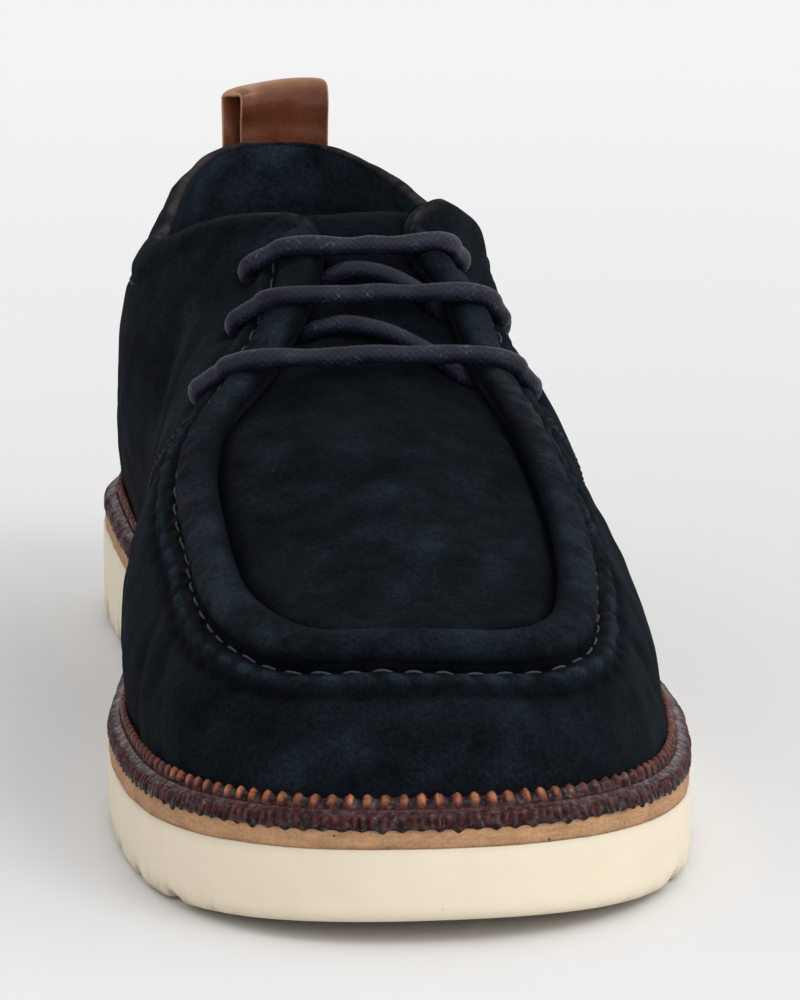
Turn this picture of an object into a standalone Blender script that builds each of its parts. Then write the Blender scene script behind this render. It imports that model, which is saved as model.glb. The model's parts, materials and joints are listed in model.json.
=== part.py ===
"""Moccasin-toe derby shoe for the left foot, at real size.

One plan outline drives the whole sole stack.  The upper is a single hollow shell: its
wall rises in ribs from the feather line, where upper and welt meet, to a top line that
is in turn the apron seam round the toe, the throat edge beside the laces and the collar.
The apron plug closes the front of that line.  Roll, tongue, laces, welt ridge and pull
loop are all placed on the same wall, so they keep their clearance when sizes change.

Lengths below are millimetres; add_piece() turns them into metres when it writes a mesh.
+Z is up, the toe points along -Y, the outer (lateral) side of the foot lies at +X, and
the origin is on the ground under the middle of the sole.  "Along" counts from the toe
tip to the back of the heel.  A "turn" runs once round the shoe: 0 at the toe tip, along
the lateral side to 0.5 at the heel, and back along the medial side to 1.
"""

import math
from collections import namedtuple

import bmesh
import bpy
import numpy as np

MILLIMETRE = 0.001
GAP = 0.3                     # clearance between pieces that touch
UP = np.array((0.0, 0.0, 1.0))

# ---------------------------------------------------------------- driving dimensions
SOLE_LENGTH = 300.0
TOE_ROUND = 72.0              # length over which the plan rounds off at the toe
TOE_SQUARENESS = 2.4          # 2 is an ellipse, more is squarer
HEEL_ROUND = 42.0
HEEL_SQUARENESS = 2.3
LEDGE = 5.0                   # how far the sole stands out beyond the upper
MIDSOLE_THICKNESS = 3.7
WALL = 2.2                    # suede and lining together
INSOLE_THICKNESS = 3.0
INSOLE_SLACK = 0.8            # clearance between the insole and the inside of the wall

ColumnsOfPlan = namedtuple("ColumnsOfPlan", "along centre half_width")
SOLE_PLAN = (
    ColumnsOfPlan(0, -4.0, 49.4),
    ColumnsOfPlan(55, -1.8, 52.3),
    ColumnsOfPlan(95, 0.2, 54.4),      # ball
    ColumnsOfPlan(140, 2.6, 49.0),
    ColumnsOfPlan(190, 3.1, 40.6),     # waist
    ColumnsOfPlan(240, 1.2, 39.8),
    ColumnsOfPlan(300, 0.0, 38.5),
)

ColumnsOfProfile = namedtuple("ColumnsOfProfile", "along tread top")
SOLE_PROFILE = (
    ColumnsOfProfile(0, 4.6, 17.7),    # toe spring
    ColumnsOfProfile(14, 2.7, 16.4),
    ColumnsOfProfile(32, 1.0, 15.0),
    ColumnsOfProfile(56, 0.0, 13.8),
    ColumnsOfProfile(95, 0.0, 13.2),
    ColumnsOfProfile(142, 0.0, 14.0),
    ColumnsOfProfile(168, 1.2, 15.3),  # arch
    ColumnsOfProfile(200, 1.2, 17.0),
    ColumnsOfProfile(226, 0.0, 18.3),
    ColumnsOfProfile(262, 0.0, 19.6),
    ColumnsOfProfile(300, 0.0, 20.4),
)

# The top line of the upper: its place across the shoe and its height, on both sides.
ColumnsOfTop = namedtuple(
    "ColumnsOfTop", "around along lateral lateral_height medial medial_height"
)
TOP_LINE = (
    ColumnsOfTop(0.000, 32.4, -3.6, 48.5, -3.6, 48.5),       # apron, toe
    ColumnsOfTop(0.050, 32.9, 7.4, 48.0, -14.2, 48.8),
    ColumnsOfTop(0.100, 35.2, 15.8, 48.0, -22.4, 49.0),
    ColumnsOfTop(0.150, 41.6, 21.4, 49.0, -27.6, 50.0),
    ColumnsOfTop(0.200, 51.6, 24.4, 51.2, -31.6, 51.8),
    ColumnsOfTop(0.300, 80.0, 26.8, 59.4, -33.8, 59.6),      # apron, widest
    ColumnsOfTop(0.350, 96.0, 25.8, 65.4, -33.4, 65.4),
    ColumnsOfTop(0.400, 112.0, 23.6, 72.0, -29.2, 72.0),
    ColumnsOfTop(0.450, 128.0, 19.4, 79.5, -18.8, 79.5),     # throat edges
    ColumnsOfTop(0.500, 145.0, 17.0, 88.8, -9.8, 88.8),
    ColumnsOfTop(0.550, 161.3, 11.8, 97.0, -5.8, 97.2),
    ColumnsOfTop(0.575, 169.0, 13.4, 100.8, -7.6, 101.0),
    ColumnsOfTop(0.600, 177.0, 19.0, 102.0, -16.0, 100.9),   # rounded tops of the facings
    ColumnsOfTop(0.630, 186.5, 25.0, 98.0, -25.2, 97.3),
    ColumnsOfTop(0.660, 198.0, 28.8, 92.8, -31.6, 92.4),
    ColumnsOfTop(0.700, 212.0, 29.8, 89.8, -32.4, 89.8),
    ColumnsOfTop(0.750, 230.0, 28.2, 89.5, -29.2, 89.5),     # collar
    ColumnsOfTop(0.800, 248.0, 25.0, 91.1, -25.6, 91.1),
    ColumnsOfTop(0.850, 265.5, 21.0, 93.1, -21.2, 93.1),
    ColumnsOfTop(0.900, 280.5, 15.3, 94.6, -15.2, 94.6),
    ColumnsOfTop(0.950, 289.2, 8.3, 95.4, -8.0, 95.4),
    ColumnsOfTop(1.000, 291.5, 0.3, 95.6, 0.3, 95.6),        # back of the heel
)

# The bend of the wall between feather line and top line: it leaves the feather line
# upwards, pushed out by the swell, and meets the top line over a shoulder that starts
# `reach` outside it and falls away at `slope`.
ColumnsOfRib = namedtuple(
    "ColumnsOfRib",
    "around lateral_reach medial_reach lateral_slope medial_slope lateral_swell medial_swell",
)
RIBS = (
    ColumnsOfRib(0.00, 12.0, 12.0, 0.42, 0.42, 1.5, 1.5),
    ColumnsOfRib(0.15, 12.0, 12.0, 0.48, 0.48, 1.8, 3.5),
    ColumnsOfRib(0.30, 12.5, 13.0, 0.45, 0.45, 2.6, 5.5),
    ColumnsOfRib(0.40, 14.0, 19.0, 0.36, 0.26, 3.2, 6.0),
    ColumnsOfRib(0.50, 16.5, 27.0, 0.22, 0.12, 3.4, 7.0),
    ColumnsOfRib(0.55, 15.5, 28.0, 0.30, 0.14, 3.2, 8.0),
    ColumnsOfRib(0.60, 12.0, 21.0, 0.80, 0.45, 3.2, 8.5),
    ColumnsOfRib(0.65, 9.0, 15.0, 1.60, 1.00, 3.6, 9.0),
    ColumnsOfRib(0.72, 7.0, 12.0, 2.10, 1.20, 4.2, 8.5),
    ColumnsOfRib(0.85, 7.0, 8.0, 2.50, 2.20, 4.5, 5.5),
    ColumnsOfRib(1.00, 6.0, 6.0, 3.50, 3.50, 4.0, 4.0),
)
RISE = 0.40                   # share of a rib's height over which it leaves upright

# Doming of the apron and of the tongue that continues it, above the top lines.
ColumnsOfDome = namedtuple("ColumnsOfDome", "along crown")
DOME = (
    ColumnsOfDome(32, 0.0),
    ColumnsOfDome(45, 2.4),
    ColumnsOfDome(60, 4.2),
    ColumnsOfDome(85, 5.4),
    ColumnsOfDome(110, 4.6),
    ColumnsOfDome(130, 3.2),
    ColumnsOfDome(175, 2.2),
)
THROAT = 0.425                # `around` of the throat, where the plug gives way to the tongue

# ---------------------------------------------------------------- mesh densities
STEPS_ROUND = 96              # points round the sole pieces, and ribs round the upper
UPPER_ROWS = 11               # quads from feather line to top line
PLUG_COLUMNS = 10             # quads across the plug
SHARP_EDGE = 40               # degrees; steeper folds than this are shaded as edges


# ---------------------------------------------------------------- curves from tables
def hermite(x, y, at):
    """Smooth curve through the points (x, y), read at `at`."""
    step = np.diff(x)
    rise = np.diff(y) / step
    inner = (rise[:-1] * step[1:] + rise[1:] * step[:-1]) / (step[1:] + step[:-1])
    slope = np.concatenate((rise[:1], inner, rise[-1:]))
    at = np.clip(at, x[0], x[-1])
    left = np.clip(np.searchsorted(x, at, side="right") - 1, 0, len(step) - 1)
    t = (at - x[left]) / step[left]
    return (
        (2 * t**3 - 3 * t**2 + 1) * y[left]
        + (t**3 - 2 * t**2 + t) * step[left] * slope[left]
        + (3 * t**2 - 2 * t**3) * y[left + 1]
        + (t**3 - t**2) * step[left] * slope[left + 1]
    )


def follow(table, column, at):
    """One column of a table, read at stations `at` of its first column."""
    x = np.array([row[0] for row in table], float)
    y = np.array([getattr(row, column) for row in table], float)
    return hermite(x, y, np.asarray(at, float))


def follow_round(table, lateral_column, medial_column, turn):
    """A pair of columns as one closed curve round the shoe, read at `turn`."""
    around = np.array([row[0] for row in table], float)
    lateral = np.array([getattr(row, lateral_column) for row in table], float)
    medial = np.array([getattr(row, medial_column) for row in table], float)
    x = np.concatenate((around / 2, 1 - around[-2::-1] / 2))
    y = np.concatenate((lateral, medial[-2::-1]))
    x = np.concatenate((x[-4:-1] - 1, x, x[1:4] + 1))
    y = np.concatenate((y[-4:-1], y, y[1:4]))
    return hermite(x, y, np.mod(turn, 1.0))


def rounded_end(distance, length, squareness):
    """Factor from 0 to 1 that rounds the plan off over `length` from its tip."""
    t = np.minimum(distance / length, 1.0)
    return (1 - (1 - t) ** squareness) ** (1 / squareness)


# ---------------------------------------------------------------- sole outline
def fine_outline(inset, count=1200):
    """Dense closed plan curve, `inset` inside the edge of the sole."""
    along = SOLE_LENGTH * (1 - np.cos(np.linspace(0, math.pi, count))) / 2
    half = follow(SOLE_PLAN, "half_width", along)
    half *= rounded_end(along, TOE_ROUND, TOE_SQUARENESS)
    half *= rounded_end(SOLE_LENGTH - along, HEEL_ROUND, HEEL_SQUARENESS)
    centre = follow(SOLE_PLAN, "centre", along)
    y = along - SOLE_LENGTH / 2
    lateral = np.stack((centre + half, y), axis=1)
    medial = np.stack((centre - half, y), axis=1)
    loop = np.concatenate((lateral, medial[-2:0:-1]))
    return loop - inset * plan_normals(loop)


def plan_normals(loop):
    """Outward unit normals of a closed plan curve that runs anticlockwise from above."""
    tangent = np.roll(loop, -1, axis=0) - np.roll(loop, 1, axis=0)
    normal = np.stack((tangent[:, 1], -tangent[:, 0]), axis=1)
    return normal / np.linalg.norm(normal, axis=1, keepdims=True)


def read_round(loop, values, turn):
    """Values on a closed plan curve, read at even arc lengths given by `turn`."""
    closed = np.concatenate((loop, loop[:1]))
    length = np.linalg.norm(np.diff(closed, axis=0), axis=1)
    arc = np.concatenate(([0.0], np.cumsum(length)))
    values = np.concatenate((values, values[:1]))
    place = np.mod(turn, 1.0) * arc[-1]
    return np.stack([np.interp(place, arc, column) for column in values.T], axis=1)


def along_of(y):
    return y + SOLE_LENGTH / 2


def tread_height(along):
    """Underside of the outsole: on the ground at forefoot and heel, raised at toe and arch."""
    return np.maximum(follow(SOLE_PROFILE, "tread", along), 0.0)


def midsole_bottom(along):
    return follow(SOLE_PROFILE, "top", along) + GAP


def seat_height(along):
    """Level on which upper, welt and insole stand, just above the midsole."""
    return midsole_bottom(along) + MIDSOLE_THICKNESS + GAP


def edge_loop(inset, level, lift=0.0, steps=STEPS_ROUND):
    """Closed loop inside the sole's edge; `level` gives its height along the shoe."""
    fine = fine_outline(inset)
    plan = read_round(fine, fine, np.arange(steps) / steps)
    height = level(along_of(plan[:, 1])) + lift
    return np.column_stack((plan, height))


# ---------------------------------------------------------------- wall of the upper
def top_line(turn):
    along = follow_round(TOP_LINE, "along", "along", turn)
    height = follow_round(TOP_LINE, "lateral_height", "medial_height", turn)
    across = follow_round(TOP_LINE, "lateral", "medial", turn)
    return np.column_stack((across, along - SOLE_LENGTH / 2, height))


def rib_outward(turn):
    """Level unit vectors that point out of the shoe at the foot of the ribs."""
    fine = fine_outline(LEDGE)
    outward = read_round(fine, plan_normals(fine), turn)
    return np.column_stack((outward, np.zeros(len(turn))))


def rib_controls(turn):
    """Feather point, two handles and top point of the ribs at `turn`."""
    fine = fine_outline(LEDGE)
    plan = read_round(fine, fine, turn)
    outward = rib_outward(turn)
    feather = np.column_stack((plan, seat_height(along_of(plan[:, 1]))))
    top = top_line(turn)
    reach = follow_round(RIBS, "lateral_reach", "medial_reach", turn)
    slope = follow_round(RIBS, "lateral_slope", "medial_slope", turn)
    swell = follow_round(RIBS, "lateral_swell", "medial_swell", turn)
    lift = RISE * (top[:, 2] - feather[:, 2])
    lower = feather + swell[:, None] * outward + lift[:, None] * UP
    shoulder = top + reach[:, None] * outward - (reach * slope)[:, None] * UP
    return feather, lower, shoulder, top


def wall_points(turn, share):
    """Outer surface at `turn` and `share` of each rib, 0 at the feather, 1 at the top.

    The result has one row for each share and one column for each turn.
    """
    t = np.asarray(share, float).reshape(-1, 1, 1)
    feather, lower, shoulder, top = rib_controls(turn)
    return (
        (1 - t) ** 3 * feather
        + 3 * t * (1 - t) ** 2 * lower
        + 3 * t**2 * (1 - t) * shoulder
        + t**3 * top
    )


def wall_normals(turn, share):
    """Unit normals of the wall, pointing out of the shoe."""
    step = 0.002
    round_the_shoe = wall_points(turn + step, share) - wall_points(turn - step, share)
    share = np.asarray(share, float)
    up_the_rib = wall_points(turn, share + step) - wall_points(turn, share - step)
    normal = np.cross(round_the_shoe, up_the_rib)
    return normal / np.linalg.norm(normal, axis=2, keepdims=True)


def share_below_top(turn, distance):
    """Share of each rib that lies `distance` down the wall from its top."""
    distance = np.broadcast_to(distance, np.shape(turn))
    fine = np.linspace(0, 1, 120)
    points = wall_points(turn, fine)
    length = np.linalg.norm(np.diff(points, axis=0), axis=2)
    down = np.cumsum(length[::-1], axis=0)
    down = np.concatenate((np.zeros((1, len(turn))), down))
    return np.array([np.interp(distance[i], down[:, i], fine[::-1]) for i in range(len(turn))])


def on_wall(turn, distance, height):
    """Points `distance` down from the top line and `height` off the wall, one for each turn."""
    turn = np.atleast_1d(np.asarray(turn, float))
    share = share_below_top(turn, distance)
    heights = np.broadcast_to(height, np.shape(turn))
    points = np.empty((len(turn), 3))
    for i, (where, part) in enumerate(zip(turn, share)):
        one = np.array((where,))
        points[i] = wall_points(one, [part])[0, 0] + heights[i] * wall_normals(one, [part])[0, 0]
    return points


# ---------------------------------------------------------------- apron dome
def dome_points(around, across):
    """Surface of the apron: rows at `around`, columns `across` from 0 medial to 1 lateral."""
    lateral = top_line(np.asarray(around) / 2)
    medial = top_line(1 - np.asarray(around) / 2)
    crown = follow(DOME, "crown", along_of(lateral[:, 1]))
    w = np.asarray(across, float).reshape(1, -1, 1)
    points = medial[:, None] * (1 - w) + lateral[:, None] * w
    points[:, :, 2] += crown[:, None] * 4 * (w * (1 - w))[:, :, 0]
    return points


# ---------------------------------------------------------------- meshes
def add_piece(name, vertices, faces, look):
    """Write a closed mesh, given in millimetres, as one object with its own material."""
    mesh = bpy.data.meshes.new(name)
    points = [tuple(float(value) * MILLIMETRE for value in vertex) for vertex in vertices]
    mesh.from_pydata(points, [], [tuple(int(index) for index in face) for face in faces])
    shape = bmesh.new()
    shape.from_mesh(mesh)
    bmesh.ops.triangulate(shape, faces=shape.faces[:], quad_method="SHORT_EDGE")
    bmesh.ops.recalc_face_normals(shape, faces=shape.faces[:])
    shape.to_mesh(mesh)
    shape.free()
    mesh.shade_smooth()
    mesh.set_sharp_from_angle(angle=math.radians(SHARP_EDGE))
    piece = bpy.data.objects.new(name, mesh)
    bpy.context.scene.collection.objects.link(piece)
    mesh.materials.append(make_material(name, look))
    return piece


def make_material(name, look):
    material = bpy.data.materials.new(name)
    material.use_nodes = True
    surface = material.node_tree.nodes["Principled BSDF"]
    surface.inputs["Base Color"].default_value = (*look.colour, 1.0)
    surface.inputs["Roughness"].default_value = look.roughness
    surface.inputs["Metallic"].default_value = 0.0
    return material


def loop_faces(loops, count, closed_section=False):
    """Quads that join `loops` consecutive closed loops of `count` points each."""
    faces = []
    last = loops if closed_section else loops - 1
    for row in range(last):
        above = (row + 1) % loops
        for i in range(count):
            j = (i + 1) % count
            faces.append((row * count + i, row * count + j, above * count + j, above * count + i))
    return faces


def cap_faces(first, count):
    """Faces that close a loop straight across the shoe, from one side to the other."""
    half = count // 2
    faces = [(first, first + 1, first + count - 1)]
    for i in range(1, half - 1):
        faces.append((first + i, first + i + 1, first + count - i - 1, first + count - i))
    faces.append((first + half - 1, first + half, first + half + 1))
    return faces


def add_slab(name, loops, look):
    """Closed solid from loops stacked bottom to top, with both ends capped."""
    count = len(loops[0])
    faces = loop_faces(len(loops), count)
    faces += [face[::-1] for face in cap_faces(0, count)]
    faces += cap_faces((len(loops) - 1) * count, count)
    return add_piece(name, np.concatenate(loops), faces, look)


def add_ring(name, loops, look):
    """Closed ring whose section is the polygon through the loops, in order."""
    faces = loop_faces(len(loops), len(loops[0]), closed_section=True)
    return add_piece(name, np.concatenate(loops), faces, look)


def add_sweep(name, sections, look):
    """Closed solid swept through open sections of equal size, with both ends capped."""
    rows = len(sections)
    count = len(sections[0])
    faces = []
    for row in range(rows - 1):
        for i in range(count):
            j = (i + 1) % count
            here = row * count
            faces.append((here + i, here + j, here + count + j, here + count + i))
    faces.append(tuple(range(count))[::-1])
    faces.append(tuple((rows - 1) * count + i for i in range(count)))
    return add_piece(name, np.concatenate(sections), faces, look)


# ---------------------------------------------------------------- looks
Look = namedtuple("Look", "colour roughness")
CREAM_RUBBER = Look((0.80, 0.74, 0.63), 0.65)
TAN_SHEET = Look((0.52, 0.36, 0.22), 0.70)
BURGUNDY_WELT = Look((0.16, 0.035, 0.035), 0.45)
NAVY_SUEDE = Look((0.030, 0.046, 0.070), 0.95)
NAVY_CORD = Look((0.045, 0.055, 0.085), 0.55)
FOOTBED = Look((0.035, 0.045, 0.062), 0.90)
BROWN_LEATHER = Look((0.20, 0.075, 0.035), 0.45)


# ---------------------------------------------------------------- sole
TREAD_BEVEL = 1.6             # rounding of the outsole's lower edge
TREAD_BEVEL_HEIGHT = 2.6
GROOVE_FIRST = 37.0           # distance of the first tread groove from the toe tip
GROOVE_PITCH = 18.5
GROOVE_DEPTH = 3.4
GROOVE_MOUTH = 7.0            # width of a groove at the ground
GROOVE_FLOOR = 1.6
GROOVES = 14


def add_outsole():
    """Wedge outsole, cut across by a saw-tooth tread whose grooves reach the side edges."""
    loops = (
        edge_loop(TREAD_BEVEL, tread_height),
        edge_loop(0.0, tread_height, TREAD_BEVEL_HEIGHT),
        edge_loop(0.0, lambda along: follow(SOLE_PROFILE, "top", along)),
    )
    outsole = add_slab("outsole", loops, CREAM_RUBBER)
    cut = outsole.modifiers.new("tread", "BOOLEAN")
    cut.operation = "DIFFERENCE"
    cut.object = add_groove_cutter()
    return outsole


def add_groove_cutter():
    """Wedge-shaped bars, one for each groove: upright towards the heel, sloping to the toe."""
    vertices = []
    faces = []
    half = SOLE_LENGTH / 4
    for groove in range(GROOVES):
        along = GROOVE_FIRST + groove * GROOVE_PITCH
        y = along - SOLE_LENGTH / 2
        level = float(tread_height(along))
        section = (
            (y - GROOVE_MOUTH, level - 2 * GROOVE_DEPTH),
            (y, level - 2 * GROOVE_DEPTH),
            (y, level + GROOVE_DEPTH),
            (y - GROOVE_FLOOR, level + GROOVE_DEPTH),
            (y - GROOVE_MOUTH, level),
        )
        first = len(vertices)
        size = len(section)
        vertices += [(side, *point) for side in (-half, half) for point in section]
        faces.append(tuple(first + i for i in range(size)))
        faces.append(tuple(first + size + i for i in reversed(range(size))))
        for i in range(size):
            j = (i + 1) % size
            faces.append((first + j, first + i, first + size + i, first + size + j))
    cutter = add_piece("tread_grooves", vertices, faces, CREAM_RUBBER)
    cutter.hide_render = True
    cutter.display_type = "WIRE"
    return cutter


def add_midsole():
    loops = (
        edge_loop(GAP, midsole_bottom),
        edge_loop(GAP, midsole_bottom, MIDSOLE_THICKNESS),
    )
    return add_slab("midsole", loops, TAN_SHEET)


def add_insole():
    inset = LEDGE + WALL + INSOLE_SLACK
    loops = (
        edge_loop(inset, seat_height),
        edge_loop(inset, seat_height, INSOLE_THICKNESS),
    )
    return add_slab("insole", loops, FOOTBED)


WELT_THICKNESS = 2.3
WELT_SETBACK = 0.7            # the welt's edge lies this far inside the sole's
RIDGE_HEIGHT = 4.8
RIDGE_WIDTH = 2.0             # at its foot
RIDGE_CREST_WIDTH = 1.3
RIDGE_CREST_DROP = 0.7        # its crest falls away outwards by this much
RIDGE_LEAN = 0.3              # how far its crest stands off the upper, beyond the clearance
RIDGE_RIBS = (0.0, 0.04, 0.08, 0.12)   # shares of the ribs beside the ridge


def add_welt():
    """Flat strip round the sole with an upright ridge against the foot of the upper."""
    turn = np.arange(STEPS_ROUND) / STEPS_ROUND
    foot = wall_points(turn, [0.0])[0]
    outward = rib_outward(turn)
    beside = wall_points(turn, RIDGE_RIBS)
    crest = np.empty_like(foot)
    for i in range(len(turn)):
        rise = beside[:, i, 2] - foot[i, 2]
        crest[i] = [np.interp(RIDGE_HEIGHT, rise, beside[:, i, axis]) for axis in range(3)]
    crest += (GAP + RIDGE_LEAN) * outward
    loops = (
        edge_loop(WELT_SETBACK, seat_height),
        edge_loop(WELT_SETBACK, seat_height, WELT_THICKNESS),
        foot + (GAP + RIDGE_WIDTH) * outward + WELT_THICKNESS * UP,
        crest + RIDGE_CREST_WIDTH * outward - RIDGE_CREST_DROP * UP,
        crest,
        foot + GAP * outward,
    )
    return add_ring("welt", loops, BURGUNDY_WELT)


# ---------------------------------------------------------------- upper
def add_upper():
    """Hollow shell: ribbed wall all round, apron plug across the front, 2.2 mm thick."""
    turn = np.arange(STEPS_ROUND) / STEPS_ROUND
    rows = wall_points(turn, np.linspace(0, 1, UPPER_ROWS + 1))
    outer = list(rows.reshape(-1, 3))
    faces = loop_faces(UPPER_ROWS + 1, STEPS_ROUND)
    rim = UPPER_ROWS * STEPS_ROUND
    last = round(THROAT * STEPS_ROUND / 2)
    across = np.linspace(0, 1, PLUG_COLUMNS + 1)
    plug = dome_points(2 * turn[1:last + 1], across)
    lines = [[rim] * (PLUG_COLUMNS + 1)]
    for i in range(1, last + 1):
        line = [rim + STEPS_ROUND - i]
        for column in range(1, PLUG_COLUMNS):
            line.append(len(outer))
            outer.append(plug[i - 1, column])
        line.append(rim + i)
        lines.append(line)
    for front, back in zip(lines, lines[1:]):
        for k in range(PLUG_COLUMNS):
            face = (front[k], front[k + 1], back[k + 1], back[k])
            faces.append(tuple(dict.fromkeys(face)))
    return add_shell("upper", np.array(outer), faces, WALL, NAVY_SUEDE)


def add_shell(name, outer, faces, thickness, look):
    """Closed solid between an open surface and its copy, one thickness further in."""
    shape = bmesh.new()
    corners = [shape.verts.new(point) for point in outer]
    for face in faces:
        shape.faces.new([corners[index] for index in face])
    shape.verts.index_update()
    shape.normal_update()
    inner = np.array([corner.co - thickness * corner.normal for corner in corners])
    foot = outer[:, 2] - seat_height(along_of(outer[:, 1]))
    inner[:, 2] = np.where(np.abs(foot) < 0.01, outer[:, 2], inner[:, 2])
    count = len(outer)
    solid = list(faces) + [tuple(count + index for index in face[::-1]) for face in faces]
    for edge in shape.edges:
        if edge.is_boundary:
            start = edge.link_loops[0]
            a = start.vert.index
            b = start.link_loop_next.vert.index
            solid.append((b, a, count + a, count + b))
    shape.free()
    return add_piece(name, np.concatenate((outer, inner)), solid, look)


# ---------------------------------------------------------------- apron roll
ROLL_INNER = 0.8              # its inner edge lies this far outside the top line
ROLL_WIDTH_TOE = 6.8
ROLL_WIDTH_FACING = 7.4
ROLL_HEIGHT_TOE = 3.0
ROLL_HEIGHT_FACING = 2.2
ROLL_END = 0.560              # `around` at which it ends, at the top of the facings
ROLL_STEPS = 56
ROLL_SIDES = 5


def add_apron_roll():
    """Half-round welt of folded suede, laid on the wall along the apron and the facings."""
    turns = np.linspace(-ROLL_END / 2, ROLL_END / 2, ROLL_STEPS + 1)
    half = roll_width(turns) / 2
    ring = []
    for angle in np.linspace(0, math.pi, ROLL_SIDES + 1):
        down = ROLL_INNER + half - half * math.cos(angle)
        ring.append(on_wall(turns, down, GAP + roll_height(turns) * math.sin(angle)))
    ring.append(on_wall(turns, ROLL_INNER + half, GAP))
    sections = list(np.stack(ring, axis=1))
    return add_sweep("apron_roll", sections, NAVY_SUEDE)


def roll_width(turn):
    share = np.abs(turn) / (ROLL_END / 2)
    return ROLL_WIDTH_TOE + (ROLL_WIDTH_FACING - ROLL_WIDTH_TOE) * share


def roll_height(turn):
    """Height of the roll, which is flatter on the facings than round the toe."""
    share = np.abs(turn) / (ROLL_END / 2)
    return ROLL_HEIGHT_TOE + (ROLL_HEIGHT_FACING - ROLL_HEIGHT_TOE) * share


# ---------------------------------------------------------------- tongue
TONGUE_THICKNESS = 2.4
TONGUE_START = 0.385          # `around`, under the end of the plug
TONGUE_END = 0.598
TONGUE_TUCK = 8.0             # how far it reaches under each facing
TONGUE_ROUND = 0.040          # `around` over which its top corners round off
TONGUE_BLUNT = 0.004          # `around` by which the rounding stops short of a point
TONGUE_ROWS = 18


def add_tongue():
    """Sheet under the facings: the apron's own dome, set in by the wall and a clearance."""
    around = np.linspace(TONGUE_START, TONGUE_END, TONGUE_ROWS + 1)
    across = np.linspace(0, 1, PLUG_COLUMNS + 1)
    drop = WALL + 2 * GAP
    middle = dome_points(around, across)
    normals = sheet_normals(middle)
    rows = []
    for i, where in enumerate(around):
        from_tip = TONGUE_END + TONGUE_BLUNT - where
        tuck = TONGUE_TUCK * rounded_end(from_tip, TONGUE_ROUND, 2.0)
        medial = [on_wall(1 - where / 2, tuck * part, -drop)[0] for part in (1.0, 0.5)]
        lateral = [on_wall(where / 2, tuck * part, -drop)[0] for part in (0.5, 1.0)]
        rows.append(medial + list(middle[i, 1:-1] - drop * normals[i, 1:-1]) + lateral)
    top = np.array(rows)
    bottom = top - TONGUE_THICKNESS * sheet_normals(top)
    sections = [np.concatenate((above, below[::-1])) for above, below in zip(top, bottom)]
    return add_sweep("tongue", sections, NAVY_SUEDE)


def sheet_normals(grid):
    """Upward unit normals of a grid of points, rows towards the heel, columns to lateral."""
    backward = np.gradient(grid, axis=0)
    sideways = np.gradient(grid, axis=1)
    normal = np.cross(sideways, backward)
    return normal / np.linalg.norm(normal, axis=2, keepdims=True)


# ---------------------------------------------------------------- laces
LACE_RADIUS = 1.8
LACE_GAP = 0.5                # clearance between a lace and what it lies on
LACE_WRAP = (42, 65, 90)      # degrees of its bend over a roll, up to the crest
LACE_REST = ((0.0, 0.0), (0.35, 0.15), (0.7, 0.7))   # way from eyelet to roll, extra height
LACE_LIFT = 1.5               # height of a bar's middle above the dome of the apron
LACE_MIDDLE = (0.35, 0.5, 0.65)    # places across the dome that a bar passes over
BAR_STEPS = 26

# A bar crosses the throat at `around`; its eyelets lie further back, some way down the wall.
ColumnsOfBar = namedtuple("ColumnsOfBar", "name around medial medial_down lateral lateral_down")
LACE_BARS = (
    ColumnsOfBar("lace_bar_low", 0.437, 0.460, 18.0, 0.460, 16.0),
    ColumnsOfBar("lace_bar_middle", 0.489, 0.503, 16.0, 0.507, 14.5),
    ColumnsOfBar("lace_bar_top", 0.530, 0.549, 15.5, 0.570, 14.0),
)


def add_lace_bars():
    for bar in LACE_BARS:
        add_lace_bar(bar)


def bend_over_roll(side, around, eyelet, eyelet_down):
    """Points of a lace that leaves its eyelet along the wall and bends over the roll."""
    width = float(roll_width(around / 2))
    half = width / 2
    clear = LACE_RADIUS + LACE_GAP
    crest = GAP + float(roll_height(around / 2)) + clear
    places = []
    for share, rise in LACE_REST:
        down = eyelet_down + (ROLL_INNER + width - eyelet_down) * share
        places.append((down, clear + rise))
    for degrees in LACE_WRAP:
        bend = math.radians(degrees)
        down = ROLL_INNER + half + (half + clear) * math.cos(bend)
        places.append((down, crest * math.sin(bend)))
    points = []
    for down, height in places:
        where = around + (eyelet - around) * down / eyelet_down
        points.append(on_wall(np.mod(side * where / 2, 1.0), down, height)[0])
    return points


def add_lace_bar(bar):
    """Round cord from eyelet to eyelet, over both rolls and across the tongue."""
    medial = bend_over_roll(-1, bar.around, bar.medial, bar.medial_down)
    lateral = bend_over_roll(1, bar.around, bar.lateral, bar.lateral_down)
    middle = dome_points([bar.around], LACE_MIDDLE)[0] + LACE_LIFT * UP
    route = np.concatenate((medial, middle, lateral[::-1]))
    curve = bpy.data.curves.new(bar.name, "CURVE")
    curve.dimensions = "3D"
    curve.bevel_depth = LACE_RADIUS * MILLIMETRE
    curve.bevel_resolution = 2
    curve.use_fill_caps = True
    points = smooth_route(route, BAR_STEPS)
    spline = curve.splines.new("POLY")
    spline.points.add(len(points) - 1)
    for point, place in zip(spline.points, points):
        point.co = (*(place * MILLIMETRE), 1.0)
    curve.materials.append(make_material(bar.name, NAVY_CORD))
    bpy.context.scene.collection.objects.link(bpy.data.objects.new(bar.name, curve))


def smooth_route(route, count):
    """Evenly spaced points on a smooth curve through the points of a route."""
    length = np.concatenate(([0.0], np.cumsum(np.linalg.norm(np.diff(route, axis=0), axis=1))))
    at = np.linspace(0, length[-1], count + 1)
    return np.column_stack([hermite(length, route[:, axis], at) for axis in range(3)])


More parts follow.
